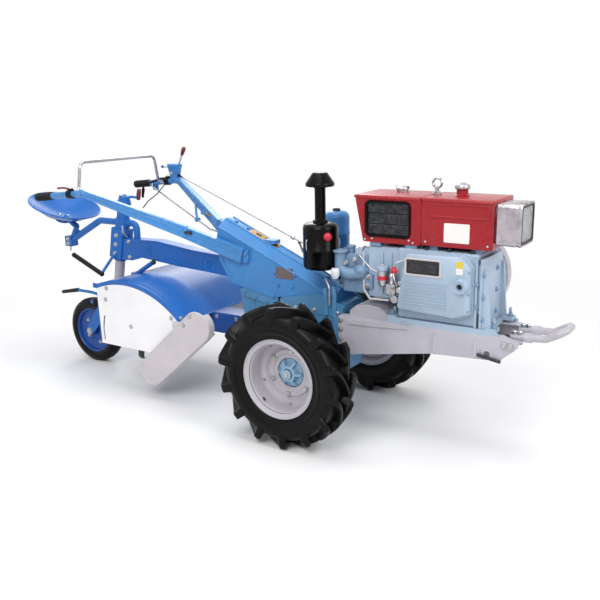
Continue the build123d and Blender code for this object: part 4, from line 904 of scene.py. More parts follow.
def air_filter():
    name = "air_cleaner"
    b = box(name)
    x, y, z0, z1 = b.x0 + 80, b.y0 + 80, b.z0, 924
    can = [(0, 0), (58, 0), (70, 4), (76, 10), (78, 18), (78, 80), (80, 83), (80, 92), (78, 95),
           (78, 182), (75, 194), (66, 202), (44, 205), (34, 206), (33, 216), (25, 220), (24, 226),
           (24, 352), (27, 356), (27, 362), (30, 366), (61, 362), (63, 366), (63, 376), (60, 380),
           (34, 418), (31, 421), (12, 422), (0, 422)]

    def outward(turn):
        return Vector((cos(radians(turn)), sin(radians(turn)), 0))

    def on_can(turn, z, r):
        return Vector((x + r * cos(radians(turn)), y + r * sin(radians(turn)), z))
    s = Shape("black").lathe(can, (x, y, z0), "z", 64)
    for turn in row(10, 0, 36):
        s.rod(on_can(turn, z0 + 362, 40), on_can(turn, z0 + 364, 56), 3, n=8)
    s.rod((x, y + 20, 769), (x + 124, y + 40, 769), 18, n=24)
    s.stand_in(name, bevel=1.0)
    s = Shape("steel")
    for turn in (-107, 20, 150):
        s.pipe([on_can(turn, z0 + z, r) for z, r in ((92, 81), (100, 84), (130, 84), (138, 80))], 2.4, 4, 8)
    s.use("bright_red").screw(on_can(-36, z1 - 52, 77), outward(-36), 19)
    s.make("air_cleaner_clips", name)


def exhaust():
    name = "silencer"
    b = box(name)
    x, y = b.x0 + 60, b.y1 - 60
    s = Shape("lit_blue")
    s.lathe([(0, 0), (30, 1), (46, 6), (56, 16), (60, 30), (60, 96), (61.5, 99), (61.5, 107), (60, 110),
             (60, 176), (56, 190), (46, 200), (30, 205), (0, 206)], (x, y, b.z0), "z", 56)
    s.use("casting").rod((x + 48, y - 18, 767), (b.x1 - 6, 84, 762), 20, n=24)
    s.lathe([(28, 0), (28, 9), (12, 9), (12, 0)], (84, 86, 763), (1, -0.1, 0), 24, closed=True)
    s.use("dark").lathe([(18, -4), (18, 9), (14, 9), (14, -4)], (x, y, b.z1), "z", 28, closed=True)
    s.stand_in(name, bevel=0.8)


def belt_grooves(r):
    """The grooved face of a pulley of that radius, as (radius, station)."""
    face = []
    for y in row(BELTS, FIRST_BELT, BELT_PITCH):
        face += [(r, y - 1), (r, y + 1), (r - 11, y + 4), (r - 11, y + 10), (r, y + 13)]
    return face + [(r, 268)]


def flywheel():
    b = box("flywheel")
    centre = Vector((b.x, 0, b.z))
    s = Shape("grey")
    s.lathe([(30, b.y0), (30, 138), (184, 138), (190, 144), (198, 146), (198, 160), (195, 162), (195, 200),
             (190, 206), (172, 206), (167, 200), (165, 176), (150, 172), (64, 172), (60, 178), (60, 214),
             (52, 214), (50, b.y0)], centre, "y", 96, closed=True)
    s.lathe([(44, 214)] + belt_grooves(72) + [(48, 268), (44, 262)], centre, "y", 64, closed=True)
    s.lathe([(0, 236), (44, 236), (44, 250), (24, 252), (22, 262), (0, 262)], centre, "y", 40)
    teeth = 72
    for a in row(teeth, 0, 2 * pi / teeth):
        u, v = Vector((cos(a), 0, sin(a))), Vector((-sin(a), 0, cos(a)))
        s.skin([[centre + u * r + v * k + Vector((0, y, 0))
                 for k, y in ((-half, 147), (half, 147), (half, 159), (-half, 159))]
                for r, half in ((196, 3.2), (199.6, 1.6))])
    s.use("zinc").bolt_circle((b.x, 250, b.z), 1, 34, 6, 0, 13, 7)
    s.bolt((b.x, 262, b.z), (0, 1, 0), 28, 4)
    s.stand_in("flywheel")


def clutch():
    b = box("clutch_pulley")
    centre = (b.x, 0, b.z)
    s = Shape("iron").lathe([(0, b.y0), (18, b.y0), (18, 222), (0, 222)], centre, "y", 32)
    s.lathe([(98, 216), (104, 214)] + belt_grooves(118)
            + [(106, 268), (98, 262), (96, 244), (44, 244), (44, 282), (36, 282), (18, 270), (18, 222),
               (44, 222), (96, 226)], centre, "y", 72, closed=True)
    s.use("zinc").bolt((b.x, 270, b.z), (0, 1, 0), 30, 9)
    s.bolt_circle((b.x, 244, b.z), 1, 70, 4, 0.4, 14, 8)
    s.stand_in("clutch_pulley")
    Shape("belt").cad("drive_belts").stand_in("drive_belts", bevel=1.2)
    y = box("belt_guard").y1
    s = Shape("blue").cad("belt_guard")
    s.lathe([(60, 0), (60, 2), (54, 5), (30, 5), (24, 2), (24, 0)], (-30, y - 1, 490), "y", 40, closed=True)
    s.use("zinc").bolts(y, ((-120, 560), (-60, 380), (60, 405), (610, 640), (628, 760), (300, 724),
                            (300, 500)), 14, 7)
    s.stand_in("belt_guard", bevel=2.5)


engine()
timing_cover()
head()
fuel_parts()
air_filter()
exhaust()
flywheel()
clutch()


# ---------------------------------------------------------------- chassis
BUMPER_Y = 56
STAND_PIVOT = (780, 456)            # x and z


def rails():
    for side, out in SIDES:
        name = "rail_" + side
        b = box(name)
        x0, face = b.x0, b.y1 if out > 0 else b.y0
        s = Shape("grey").cad(name)

        def on_web(outline, proud, r=0):
            s.plate(rounded(outline, r) if r else outline, face - out * 3, face + out * proud)
        for x in (562, 733):
            low, high = 420 + (x - 540) * 0.06, 510
            pads = ((17, 12, low, high, 9, 4), (7, 4, low + 6, high - 5, 4, 9))
            for lower, upper, base, top, r, proud in pads:
                on_web([(x - lower, base), (x + lower, base), (x + upper, top), (x - upper, top)], proud, r)
        on_web([(x0 + 44, 510), (x0 + 110, 521), (436, 524), (436, 507), (290, 497), (x0 + 50, 493)], 6)
        on_web([(x0, 350), (x0 + 22, 350), (x0 + 22, 522), (x0, 522)], 3)
        on_web([(758, 434), (803, 436), (806, 478), (755, 478)], 2.5, 8)
        s.use("dark").rod((742, face + out * 9, 450), (838, face + out * 9, 434), 7, n=16)
        boss = [(19, -3), (19, 3), (17, 5), (12.4, 5), (12.4, -3)]
        s.use("grey").lathe(boss, (STAND_PIVOT[0], face, STAND_PIVOT[1]), (0, out, 0), 32, closed=True)
        s.stand_in(name, bevel=1.4)
        trim = Shape("zinc").bolts(face + out * 3, [(x0 + 11, z) for z in (374, 420, 466, 506)]
                                   + [(872, 498), (846, 500)], 17, 9)
        trim.make(name + "_bolts", name)
    s = Shape("grey").cad("cross_members")
    hump = [(150, 524), (150, 548), (180, 574), (235, 584), (290, 578), (326, 556), (340, 524)]
    s.plate(rounded(hump, 12), -108, 108)
    s.stand_in("cross_members", bevel=4, segments=3)


def bumper_and_stand():
    side = [(850, 521), (985, 527), (1058, 567)]
    s = Shape("rim")
    s.pipe(upright(side, -BUMPER_Y) + upright(reversed(side), BUMPER_Y), 15, 34, 28, 10)
    s.stand_in("bumper", "bumper_tube")
    trim = Shape("chrome")
    for y in (-BUMPER_Y, BUMPER_Y):
        for x, z in ((884, 535), (862, 534)):
            trim.bolt((x, y, z), (0, 0, 1), 19, 11)
    trim.use("grey")
    for y in (-BUMPER_Y, BUMPER_Y):
        sleeve = [(15.2, 0), (20, 0), (20, 26), (18, 28), (15.2, 28)]
        trim.lathe(sleeve, (906, y, 523.4), (1, 0, 0.045), 28, closed=True)
        trim.box(850, 900, y - 24, y + 24, 504, 512)
    trim.make("bumper_bolts", "bumper")
    x, z = STAND_PIVOT
    end, leg = box("front_stand").x0 + 12, 62
    s = Shape("iron")
    s.pipe([(x, -leg, z), (end, -leg, 426), (end, leg, 426), (x, leg, z)], 12, 36, 20, 8)
    s.lathe([(0, 0), (12, 0), (12, 268), (10, 270), (0, 270)], (x, -135, z), "y", 28)
    s.use("zinc")
    for y in (-leg, leg):
        s.ring(12.2, 18, -16, 16, (x, y, z))
    s.use("rubber").rod((end, -38, 426), (end, 38, 426), 14, n=20)
    s.stand_in("front_stand", "front_stand_legs", bevel=0.6)


AXLE_Z = 312
CASE_SIDE = 92


def transmission():
    s = Shape("teal").cad("gearbox")
    rib = rounded([(-226, 330), (-150, 252), (-60, 246), (-60, 330), (-100, 400), (-226, 400)], 16)
    for o in BOTH:
        lo, hi = sorted((o * (CASE_SIDE - 3), o * (CASE_SIDE + 6)))
        s.plate(rib, lo, hi)
        for x in (-215, -160, 60, 96):
            s.box(x, x + 8, lo, hi, 420, 548)
    for x in row(5, -200, 60):
        s.box(x, x + 8, -60, 60, 232, 242)
    s.stand_in("gearbox", bevel=3)
    trim = Shape("zinc")
    for o in BOTH:
        y = o * CASE_SIDE
        trim.bolt_circle((0, y + o * 0.5, AXLE_Z), o, 92, 8, 0.2, 14, 8)
        trim.bolts(y + o * 6, ((-214, 342), (-156, 266), (-76, 262), (-78, 336), (-214, 388)), 13, 7)
        trim.bolts(y, ((-214, 534), (-100, 540), (20, 540)), 13, 7)
    trim.bolt((-60, 0, 238), (0, 0, -1), 24, 8)
    trim.make("gearbox_bolts", "gearbox")
    s = Shape("teal").cad("axle_housings")
    for o in BOTH:
        for a in row(8, 0, 2 * pi / 8):
            u, v = Vector((cos(a), 0, sin(a))), Vector((-sin(a), 0, cos(a))) * 3

            def rib_end(y, r):
                c = Vector((0, o * y, AXLE_Z))
                return [c + u * 50 + v * k for k in BOTH] + [c + u * r + v * k for k in (1, -1)]
            s.skin([rib_end(108, 74), rib_end(196, 54)])
    s.use("zinc")
    for o in BOTH:
        s.bolt_circle((0, o * 108, AXLE_Z), o, 68, 6, pi / 6, 14, 8)
    s.stand_in("axle_housings", bevel=1.5)


# ---------------------------------------------------------------- console and handlebars
GRIP_Y = 353
BAR_SLOPE = (1, 0, 0.09)            # the direction of the bars' rear ends
# the middle line of the left handlebar, rear to front
BAR_BEND, BAR_MID, BAR_END = Vector((-1208, 353, 1024)), Vector((-753, 132, 832)), Vector((-430, 102, 738))


def console_top(x):
    """Height of the console's side edge above a station."""
    return 613 - 0.43 * x


def console():
    name = "console"
    s = Shape("lit_blue").cad(name)
    lip = [(-583, 700), (-597, 800), (-575, 800), (-560, 700), (-505, 615), (-270, 562), (-270, 545),
           (-520, 600)]
    for o in BOTH:
        for y, up, r in ((88, 0, 4.2), (30, 34.5, 3.2)):
            s.pipe([(x, o * y, console_top(x) + up) for x in (56, -580)], r, 0, 10)
        s.plate(lip, o * 86, o * 91)
    s.box(-420, -300, -24, 24, console_top(-360) + 22, console_top(-360) + 40)
    s.stand_in(name, bevel=7, segments=4)
    trim = Shape("tan").plate(rectangle(-252, -158, 647, 699, 4), -90, -87)

    def on_top(outline, up, thick):
        """A plate of an (x, y) outline lying on the sloped top."""
        trim.skin([[(x, y, console_top(x) + up + h) for x, y in outline] for h in (0, thick)])
    trim.use("brass")
    on_top(rectangle(-452, -296, -26, 26), 34, 3)
    trim.use("dark")
    for x in (-420, -370, -330):
        on_top(rectangle(x, x + 26, -9, 9, 3), 36, 2)
    trim.use("lit_blue")
    for o in BOTH:
        trim.bolts(o * 88.5, ((-244, 614), (-163, 615), (-271, 558), (-162, 575), (-60, 575), (-262, 672),
                              (-148, 672)), 14, 7)
    for x in (-540, -470, -120, -20):
        trim.bolt((x, 0, console_top(x) + 35), (0.4, 0, 1), 14, 7)
    trim.make("console_trim", name, bevel=0.5)


def under_console():
    """The casting and side plates between the console and the gearbox, with their pipes."""
    s = Shape("teal")
    cheek = rounded([(-228, 505), (96, 505), (96, 560), (40, 585), (-20, 600), (-228, 556)], 10)
    for o in BOTH:
        s.plate(cheek, o * 92, o * 97)
    for x, z0, z1 in ((66, 505, 640), (24, 510, 628)):
        s.pipe([(x, -99, z0), (x, -99, z1 - 30), (x - 10, -92, z1)], 11, 20, 16)
    s.use("steel").pipe([(48, -112, 560), (48, -112, 640), (20, -96, 676)], 5, 16, 12)
    s.use("zinc")
    for y in (-97, 97):
        s.bolts(y, [(x, 522) for x in (-210, -140, -40, 80)], 14, 7)
    block = [(-250, 424), (-246, 550), (-275, 548), (-433, 583), (-478, 566), (-452, 424)]
    s.use("teal").plate(rounded(block, 10), -74, 74)
    rim = rounded([(-470, 560), (-450, 540), (-275, 508), (-246, 520), (-246, 552), (-275, 552),
                   (-433, 588)], 5)
    for o in BOTH:
        s.plate(rim, o * 73, o * 86)
        for x in (-400, -330):
            s.plate([(x, 426), (x + 9, 426), (x + 9, 530), (x, 545)], o * 73, o * 80)
        s.bolts(o * 86, ((-436, 560), (-372, 544), (-306, 530), (-262, 530)), 14, 7)
        s.bolts(o * 74, ((-430, 446), (-365, 446), (-290, 446)), 14, 7)
    s.make("gearbox_side_plates", "gearbox", bevel=1.5)


def handlebar(side, o):
    name = "handlebar_" + side
    s = Shape("lit_blue").cad(name)

    def flip(p):
        return Vector((p.x, p.y * o, p.z))
    for a, b, depths in ((BAR_BEND, BAR_MID, (34, 58)), (BAR_MID, BAR_END, (58, 70))):
        d = (b - a).normalized()
        across = Vector((-d.y, d.x, 0)).normalized()
        for part in (0.40, 0.12, -0.40):
            for outside in (1, -1):
                s.pipe([flip(p + across * 14.6 * outside + Vector((0, 0, depth * part)))
                        for p, depth in zip((a, b), depths)], 2.6, 0, 8)
    s.lathe([(17.5, -14), (19, -12), (19, 12), (17.5, 14)], flip(BAR_BEND - Vector((14, 0, 1.2))),
            BAR_SLOPE, 28, closed=True)
    s.stand_in(name, bevel=4, segments=3)
    trim = Shape("lit_blue").bolts(o * 105, ((-448, 752), (-448, 722), (-414, 748), (-414, 716)), 15, 8)
    x, y, z = BAR_MID + Vector((10, 14, 0))
    trim.bolts(o * y, ((x, z - 16), (x, z + 12)), 13, 7)
    trim.use("dark").plate(rectangle(-745, -700, 826, 842, 4), o * 148, o * 153)
    trim.make(name + "_bolts", name)


def corrugated(first, count, step, high, low, crest=2.0, valley=4.5, end=6.5):
    """Grip or peg rubber: count grooves between two radii, as (radius, height)."""
    profile = []
    for h in row(count, first, step):
        profile += [(high, h), (low, h + crest), (low, h + valley), (high, h + end)]
    return profile


def grips():
    s = Shape("rubber")
    d = Vector((314, 0, 32)).normalized()
    profile = [(0, 0), (16, 0), (20, 3), (21, 7)] + corrugated(12, 11, 8.6, 21, 18.6)
    profile += [(21, 112), (20, 117), (16.2, 120), (16.2, 60), (0, 60)]
    for o in BOTH:
        s.lathe(profile, (-1552, o * GRIP_Y, 992 - 30 * d.z), d, 28)
    s.stand_in("handle_grips", "grips")


def grab_hoop():
    half = [(337, 1014), (290, 1022), (266, 1164)]
    route = [(-1310, -y, z) for y, z in half] + [(-1310, y, z) for y, z in reversed(half)]
    s = Shape("chrome").pipe(rounded_path(route, 34, 8), 8, 0, 20)
    s.stand_in("grab_hoop", "grab_hoop_tube")


def lever_tower():
    x, y, z = -1238, GRIP_Y, 1025
    s = Shape("lit_blue")
    s.lathe([(0, -8), (19, -8), (21, 0), (26, 4), (26, 10), (30, 24), (40, 74), (43, 78), (43, 88),
             (38, 92), (0, 94)], (x, y, z), "z", 40)
    s.use("steel").rod((x + 18, y, z + 60), (x + 66, y - 5, z + 146), 5)
    s.rod((x - 90, y, z + 72), (x - 20, y, z + 70), 4)
    s.use("knob").lathe([(0, 0), (7, 0), (10, 10), (12, 34), (11, 46), (5, 52), (0, 53)],
                        (x + 62, y - 5, z + 139), (0.45, -0.05, 0.86), 24)
    s.use("blue").ball((x - 92, y, z + 72), 9)
    s.use("zinc")
    for a in row(4, 0.5, pi / 2):
        s.bolt((x + 30 * cos(a), y + 30 * sin(a), z + 92), (0, 0, 1), 10, 4)
    s.bolt((x, y - 34, z + 40), (0, -1, 0.2), 14, 8)
    s.stand_in("clutch_lever_box", "clutch_lever_tower", bevel=0.6)


def bar_clamps():
    x = -1296
    s = Shape("black")
    for o in BOTH:
        y = o * GRIP_Y
        s.ring(16.4, 23, -15, 15, (x, y, 1016), BAR_SLOPE)
        s.box(x - 10, x + 10, y - 10, y + 10, 1026, 1044)
    s.pipe([(x, GRIP_Y, 1034), (-1340, 340, 1030), (-1470, 334, 990), (-1482, 334, 930)], 6, 24, 12)
    s.rod((-1474, 334, 968), (-1484, 334, 916), 10, 7)
    s.use("knob").pipe([(-1300, -353, 1040), (-1340, -356, 1046), (-1384, -358, 1042)], 5, 12, 10)
    s.use("blue").box(-1408, -1376, 346, 360, 962, 1006)
    s.use("zinc")
    for o in BOTH:
        s.bolt((x, o * GRIP_Y, 1044), (0, 0, 1), 12, 6)
    s.make("grip_clamps", "handlebar_left", bevel=0.6)


def control_rods():
    """The long rod, its links and brackets and the two return springs, all left of the console."""
    s = Shape("steel")
    s.pipe([(-1402, 338, 1004), (-1386, 318, 985), (-816, 130, 806), (-574, 76, 778)], 5, 20, 12)
    s.use("lit_blue").pipe([(-1014, 256, 930), (-962, 196, 872), (-930, 168, 842)], 6.5, 20, 12)
    s.rod((-930, 180, 842), (-930, 156, 842), 11, n=18)
    s.plate(rounded([(-1030, 918), (-1000, 906), (-992, 936), (-1024, 946)], 5), 252, 262)
    s.use("dark").pipe([(-1300, 330, 1000), (-1300, 262, 952), (-1362, 246, 907), (-1396, 242, 871)],
                       3.2, 26, 8)
    s.use("brass")
    turns, steps, length, fall, r = 11, 12, 46, 30, 6.5
    wire = [(1.6 * cos(a), 1.6 * sin(a)) for a in (0, 1.05, 2.1, 3.14, 4.19, 5.24)]
    for y in (172, 158):
        coil = []
        for i in range(turns * steps + 1):
            a, part = 2 * pi * i / steps, i / (turns * steps)
            coil.append((-858 + length * part, y + r * cos(a), 884 - fall * part + r * sin(a)))
        s.sweep(coil, wire)
    s.use("lit_blue")
    s.plate(rounded([(-900, 874), (-850, 868), (-846, 892), (-896, 898)], 6), 158, 166)
    s.plate(rounded([(-816, 846), (-780, 838), (-776, 862), (-812, 870)], 6), 146, 154)
    s.make("control_rods", "console", bevel=0.5)


# ---------------------------------------------------------------- throttle cable
CABLE_R = 3.5
# the route of the CAD model, with one point more on its long run, as far from the bend as the
# next point is
CABLE_ROUTE = [(-1205, 345, 1053.6), (-257, 46, 822), (-150, 12, 796), (-40, 12, 762), (72, 12, 745)]


def control_cable():
    curve = bpy.data.curves.new("throttle_wire", "CURVE")
    curve.dimensions = "3D"
    curve.bevel_depth = CABLE_R * MM
    curve.bevel_resolution = 3
    curve.resolution_u = 24
    curve.use_fill_caps = True
    spline = curve.splines.new("NURBS")
    spline.points.add(len(CABLE_ROUTE) - 1)
    for point, (x, y, z) in zip(spline.points, CABLE_ROUTE):
        point.co = ((x + AXLE) * MM, y * MM, z * MM, 1)
    spline.order_u = 3
    spline.use_endpoint_u = True
    curve.materials.append(FINISHES["steel"].material)
    wire = bpy.data.objects.new("throttle_wire", curve)
    bpy.context.scene.collection.objects.link(wire)
    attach(wire, BODY_OF["throttle_cable"])
    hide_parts("throttle_cable")
    steps = [Vector(p) for p in CABLE_ROUTE]
    along, back = (steps[1] - steps[0]).normalized(), (steps[-2] - steps[-1]).normalized()
    sleeves = (("black", [(3.6, 0), (7, 0), (7, 14), (5, 30), (3.8, 44)], steps[0], along),
               ("black", [(3.6, 0), (8, 0), (8, 10), (5, 26), (3.8, 40)], steps[-1], back),
               ("steel", [(3.6, 10), (8, 10), (9, 14), (9, 26), (6, 30), (3.6, 30)], steps[1], along))
    ends = Shape("black")
    for finish, profile, place, axis in sleeves:
        ends.use(finish).lathe(profile, place, axis, 16, closed=True)
    ends = ends.make("throttle_wire_ends", "throttle_cable")
    x, y, z = CABLE_ROUTE[0]


def throttle_arm():
    """The bent arm that the wire pulls, out of the head and behind the air cleaner."""
    s = Shape("iron")
    s.pipe([(-194, 26, 800), (-168, 14, 758), (-60, 12, 740), (84, 12, 736)], 4.5, bend=12, n=10)
    s.ball((-194, 26, 800), 8)
    s.make("throttle_arm", "cylinder_head")


# ---------------------------------------------------------------- seat and tail column
RAKE = radians(11)
PIVOT = Vector((-1393, 0, 430))
UP = Vector((sin(RAKE), 0, cos(RAKE)))
SEAT_TILT = radians(18)
SEAT_LOW = Vector((-1770, 0, 895))  # the lowest point of the seat's dish
SEAT_AXIS = Vector((sin(SEAT_TILT), 0, cos(SEAT_TILT)))
SEAT_R, SEAT_DEPTH = 196, 74
ARM_Z = 826


def raked(u, v, w):
    """A point in the column's own frame: forward, left and up along the raked column."""
    return Vector((PIVOT.x + u * cos(RAKE) + w * sin(RAKE), v, PIVOT.z - u * sin(RAKE) + w * cos(RAKE)))


def seat_pan():
    ball = (SEAT_R ** 2 + SEAT_DEPTH ** 2) / (2 * SEAT_DEPTH)

    def drop(r, thick=0.0):
        """Height of the dish's underside, or of its top where thick is its thickness."""
        return ball - SEAT_DEPTH - sqrt((ball - thick) ** 2 - r ** 2)
    radii = [0, 25, 50, 75, 100, 125, 150, 170, 184, 191]
    under = [(r, drop(r)) for r in radii]
    over = [(r, drop(r, 4)) for r in reversed(radii)]
    lip = [(SEAT_R + 5 * cos(radians(d)), 5 * sin(radians(d))) for d in range(-90, 181, 30)]
    s = Shape("blue").lathe(under + lip + over, SEAT_LOW, SEAT_AXIS, 72)
    s.lathe([(120, drop(120) - 2.2), (126, drop(126) - 2.4), (126, drop(126) + 1), (120, drop(120) + 1)],
            SEAT_LOW, SEAT_AXIS, 72, closed=True)
    s.lathe([(0, drop(0) - 5), (44, drop(44) - 5), (48, drop(48) + 1), (0, drop(0) + 1)],
            SEAT_LOW, SEAT_AXIS, 40)
    s.use("zinc")
    u = SEAT_AXIS.orthogonal().normalized()
    v = SEAT_AXIS.cross(u)
    for a in row(4, pi / 4, pi / 2):
        p = SEAT_LOW + (u * cos(a) + v * sin(a)) * 30
        s.bolt(p + SEAT_AXIS * (drop(30) - 5), -SEAT_AXIS, 14, 8)
        s.screw(p + SEAT_AXIS * drop(30, 4), SEAT_AXIS, 11)
    s.stand_in("seat", "seat_pan", sharp=50)


def seat_arm():
    s = Shape("blue")
    crossing = raked(0, 0, 403)
    s.pipe([(-1215, 0, 735), (-1215, 0, ARM_Z), (crossing.x + 32, 0, ARM_Z)], 18, 58, 28, 8)
    s.pipe([(crossing.x - 32, 0, ARM_Z), (-1490, 0, ARM_Z), (-1764, 0, 680)], 18, 58, 28, 8)
    s.lathe([(34.2, -24), (40, -22), (40, 22), (34.2, 24)], crossing, UP, 36, closed=True)
    s.rod((-1738, 0, 690), (-1684, 0, 782), 15, n=24)
    s.box(-1766, -1716, -26, 26, 664, 722)
    s.plate([(-1700, 716), (-1640, 746), (-1698, 770)], -4, 4)
    s.use("zinc")
    for y in (-26, 26):
        s.bolts(y, ((-1741, 680), (-1741, 706)), 16, 9)
    s.rod((-1752, 0, 666), (-1756, 0, 634), 4.5, n=12)
    foot = SEAT_LOW - SEAT_AXIS * 96
    s.use("blue").rod((-1686, 0, 779), foot + Vector((26, 0, 26)), 17, 15, 24)
    s.lathe([(0, 0), (38, 0), (44, 5), (44, 24), (0, 24)], foot, SEAT_AXIS, 32)
    s.stand_in("seat_arm", "seat_arm_tube", bevel=1.5)


def tail_beam():
    s = Shape("blue").cad("tail_beam")
    for o in BOTH:
        for weld in ([(-1160, 656), (-900, 634), (-540, 612), (-540, 624), (-900, 648), (-1160, 670)],
                     [(-1160, 735), (-1050, 741), (-800, 713), (-540, 696), (-540, 706), (-800, 722),
                      (-1050, 750), (-1160, 745)]):
            s.plate(weld, o * 31, o * 34.5)
        for x, z in ((-1100, 700), (-700, 665), (-540, 660)):
            s.lathe([(18, 0), (18, 3), (9, 3), (9, 0)], (x, o * 32, z), (0, o, 0), 24, closed=True)
    s.use("zinc")
    for o in BOTH:
        s.bolts(o * 32, ((-1250, 730), (-1250, 646), (-1318, 730)), 15, 8)
    s.stand_in("tail_beam", bevel=2.5, segments=3)


def tail_column():
    s = Shape("blue").cad("column_sleeve")
    for w in (372, 506):
        s.ring(34.2, 39, 0, 12, raked(0, 0, w), UP, 32)
    s.lathe([(27.4, -14), (36, -14), (38, 0), (27.4, 0)], raked(0, 0, 207), UP, 32, closed=True)
    s.use("zinc")
    for w in (236, 286, 336):
        for o in BOTH:
            s.bolt(raked(0, o * 43, w), (0, o, 0), 16, 9)
    s.use("steel").pipe([raked(44, -10, 330), raked(64, -24, 336), raked(66, -60, 372),
                         raked(60, -64, 410)], 5, 14, 12)
    s.stand_in("column_sleeve", bevel=2)

    s = Shape("blue")
    s.lathe([(0, 0), (34, 0), (34, 6), (30, 10), (30, 26), (26, 33), (10, 35), (0, 36)],
            raked(0, 0, 520), UP, 40)
    s.pipe([raked(0, 0, 546), raked(30, 35, 548), raked(48, 56, 544)], 7, 10, 14)
    s.use("zinc").bolt(raked(0, 0, 555), UP, 18, 8)
    s.use("knob").lathe([(0, 0), (9, 0), (11, 8), (12.5, 30), (11, 54), (7, 62), (0, 63)],
                        raked(48, 56, 534), UP, 24)
    s.stand_in("height_crank", "height_crank_arm", bevel=0.6)

    s = Shape("rim")
    s.lathe([(17.2, 1), (25, 1), (27, 4), (27, 330), (17.2, 330)], raked(0, 0, 0), UP, 40, closed=True)
    s.stand_in("tail_post", "tail_post_tube")

    s = Shape("blue").cad("tail_fork")
    peg = [(11.3, 0), (16, 0)] + corrugated(4, 8, 9, 16, 14, 2, 5, 7) + [(16, 78), (11.3, 78)]
    s.use("rubber")
    for o in BOTH:
        s.lathe(peg, (-1423, o * 92, 408), (0, o, 0), 24, closed=True)
    s.use("zinc")
    for o in BOTH:
        s.bolt((-1590, o * 58, 187), (0, o, 0), 26, 9)
    s.use("blue").pipe([(-1440, -61, 412), (-1540, -62, 424), (-1656, -62, 424)], 8.5, 40, 14)
    s.lathe([(0, -4), (17, -4), (17, 6), (0, 6)], (-1440, -56, 412), (0, -1, 0), 24)
    s.use("rubber").rod((-1650, -62, 425), (-1782, -62, 399), 12, 10, 20)
    s.stand_in("tail_fork", bevel=1.6)


def tail_wheel():
    b = box("tail_tyre")
    centre = (b.x, 0, b.z)
    tread = []
    for y in (-27, -12, 3, 18):
        crown = 187 - 14 * (abs(y + 4.5) / 36) ** 2
        tread += [(crown, y), (crown, y + 9), (crown - 8, y + 10.5), (crown - 8, y + 13.5)]
    side = [(126, 31), (130, 35), (146, 38.5), (160, 38.5), (170, 35), (176, 29)]
    profile = [(r, -y) for r, y in side] + tread[:-2] + [(r, y) for r, y in reversed(side)]
    s = Shape("tyre").lathe(profile, centre, "y", 80, closed=True)
    s.stand_in("tail_tyre", sharp=40)
    half = [(124, 30), (128, 34), (130, 33), (128, 29), (120, 26), (116, 10), (108, 6), (60, 6), (48, 12),
            (30, 14), (28, 47), (10.2, 47)]
    mirrored = [(r, -y) for r, y in reversed(half)]
    s = Shape("deep_blue").lathe(half + mirrored, centre, "y", 72, closed=True)
    s.use("zinc")
    for o in BOTH:
        s.bolt_circle((b.x, o * 6, b.z), o, 78, 5, 0, 15, 7)
    s.stand_in("tail_rim")


# ---------------------------------------------------------------- rotary tiller
TILLER_SIDE = 300
HOOD_CENTRE = Vector((-1040, 0, 58))
HOOD_R = 526
ROTOR = Vector((-1000, 0, 356))
TINES = 8               # on each side
FIRST_TINE, LAST_TINE = 56, 266


def on_hood(x, y, out=0.0):
    """A point above the hood's arc at a station, out millimetres off it."""
    dx = x - HOOD_CENTRE.x
    n = Vector((dx, 0, sqrt(HOOD_R * HOOD_R - dx ** 2))).normalized()
    return HOOD_CENTRE + n * (HOOD_R + out) + Vector((0, y, 0))


def hood():
    s = Shape("blue").cad("tiller_hood")
    back, front, steps = -1229, -663, 24
    stations = [back + (front - back) * i / steps for i in range(steps + 1)]
    for y, wide, out in ((-298, 6, 4), (292, 6, 4), (-268, 14, 3), (254, 14, 3)):
        bead = ((0, 0), (1.5, out), (wide - 1.5, out), (wide, 0))
        s.skin([[on_hood(x, y + across, up) for across, up in bead] for x in stations])
    s.pipe([on_hood(-662, y, -2) for y in (-299, 299)], 4.5, 0, 12)
    s.stand_in("tiller_hood", bevel=1.0)
    # a pale strip along the hood's back edge; its pale colour also paints the highlight along that edge
    s = Shape("guard")
    s.skin([[on_hood(x, y, out) for y, out in ((-240, 0.2), (-240, 3), (245, 3), (245, 0.2))]
            for x in (-1224, -1210, -1196, -1182)])
    s.use("zinc")
    for y in (-284, 284):
        for x in (-1218, -680):
            p = on_hood(x, y, 3.2)
            s.bolt(p, p - HOOD_CENTRE - Vector((0, y, 0)), 13, 6)
    s.make("hood_edge_highlight_strip", "tiller_hood")


def side_cover(side, o):
    name = "side_cover_" + side
    s = Shape("white").cad(name)
    face = o * TILLER_SIDE
    edge = curve_through([(-1186, face, 392), (-1200, face, 325), (-1196, face, 262)], 8)
    for shift in (-7, 7):
        s.sweep([p + Vector((shift, 0, 0)) for p in edge],
                [(1.6, 1.6), (-1.6, 1.6), (-1.6, -1.6), (1.6, -1.6)])
    s.pipe([(-1221, face, 245), (-850, face, 245), (-650, face, 393)], 3, 12, 10)
    s.use("zinc").bolts(face, ((-1158, 540), (-1170, 480), (-1003, 359), (-727, 440)), 15, 7)
    if side == "left":
        s.bolts(face, ((-598, 415),), 14, 7)
    s.stand_in(name, bevel=0.8)


def soil_guard():
    Shape("guard").cad("soil_guard").stand_in("soil_guard", bevel=1.6, segments=3)
    face = box("soil_guard").y0
    x0, z0, r0, x1, z1, r1 = -868, 150, 74, -560, 418, 78
    lean = atan2(z1 - z0, x1 - x0)

    def belt(inset, y):
        """The guard's outline drawn in by inset, at station y."""
        points = []
        for x, z, r, first in ((x1, z1, r1, lean - pi / 2), (x0, z0, r0, lean + pi / 2)):
            points += [Vector((x + (r - inset) * cos(a), y, z + (r - inset) * sin(a)))
                       for a in row(13, first, pi / 12)]
        return points
    trim = Shape("guard")
    trim.skin([belt(9, face + 1), belt(7, face - 1.6), belt(3, face - 1.6), belt(1, face + 1.5)], loop=True)
    trim.use("zinc").bolts(face, ((-598, 470), (-640, 420)), 16, 7)
    trim.make("soil_guard_rim", "soil_guard")


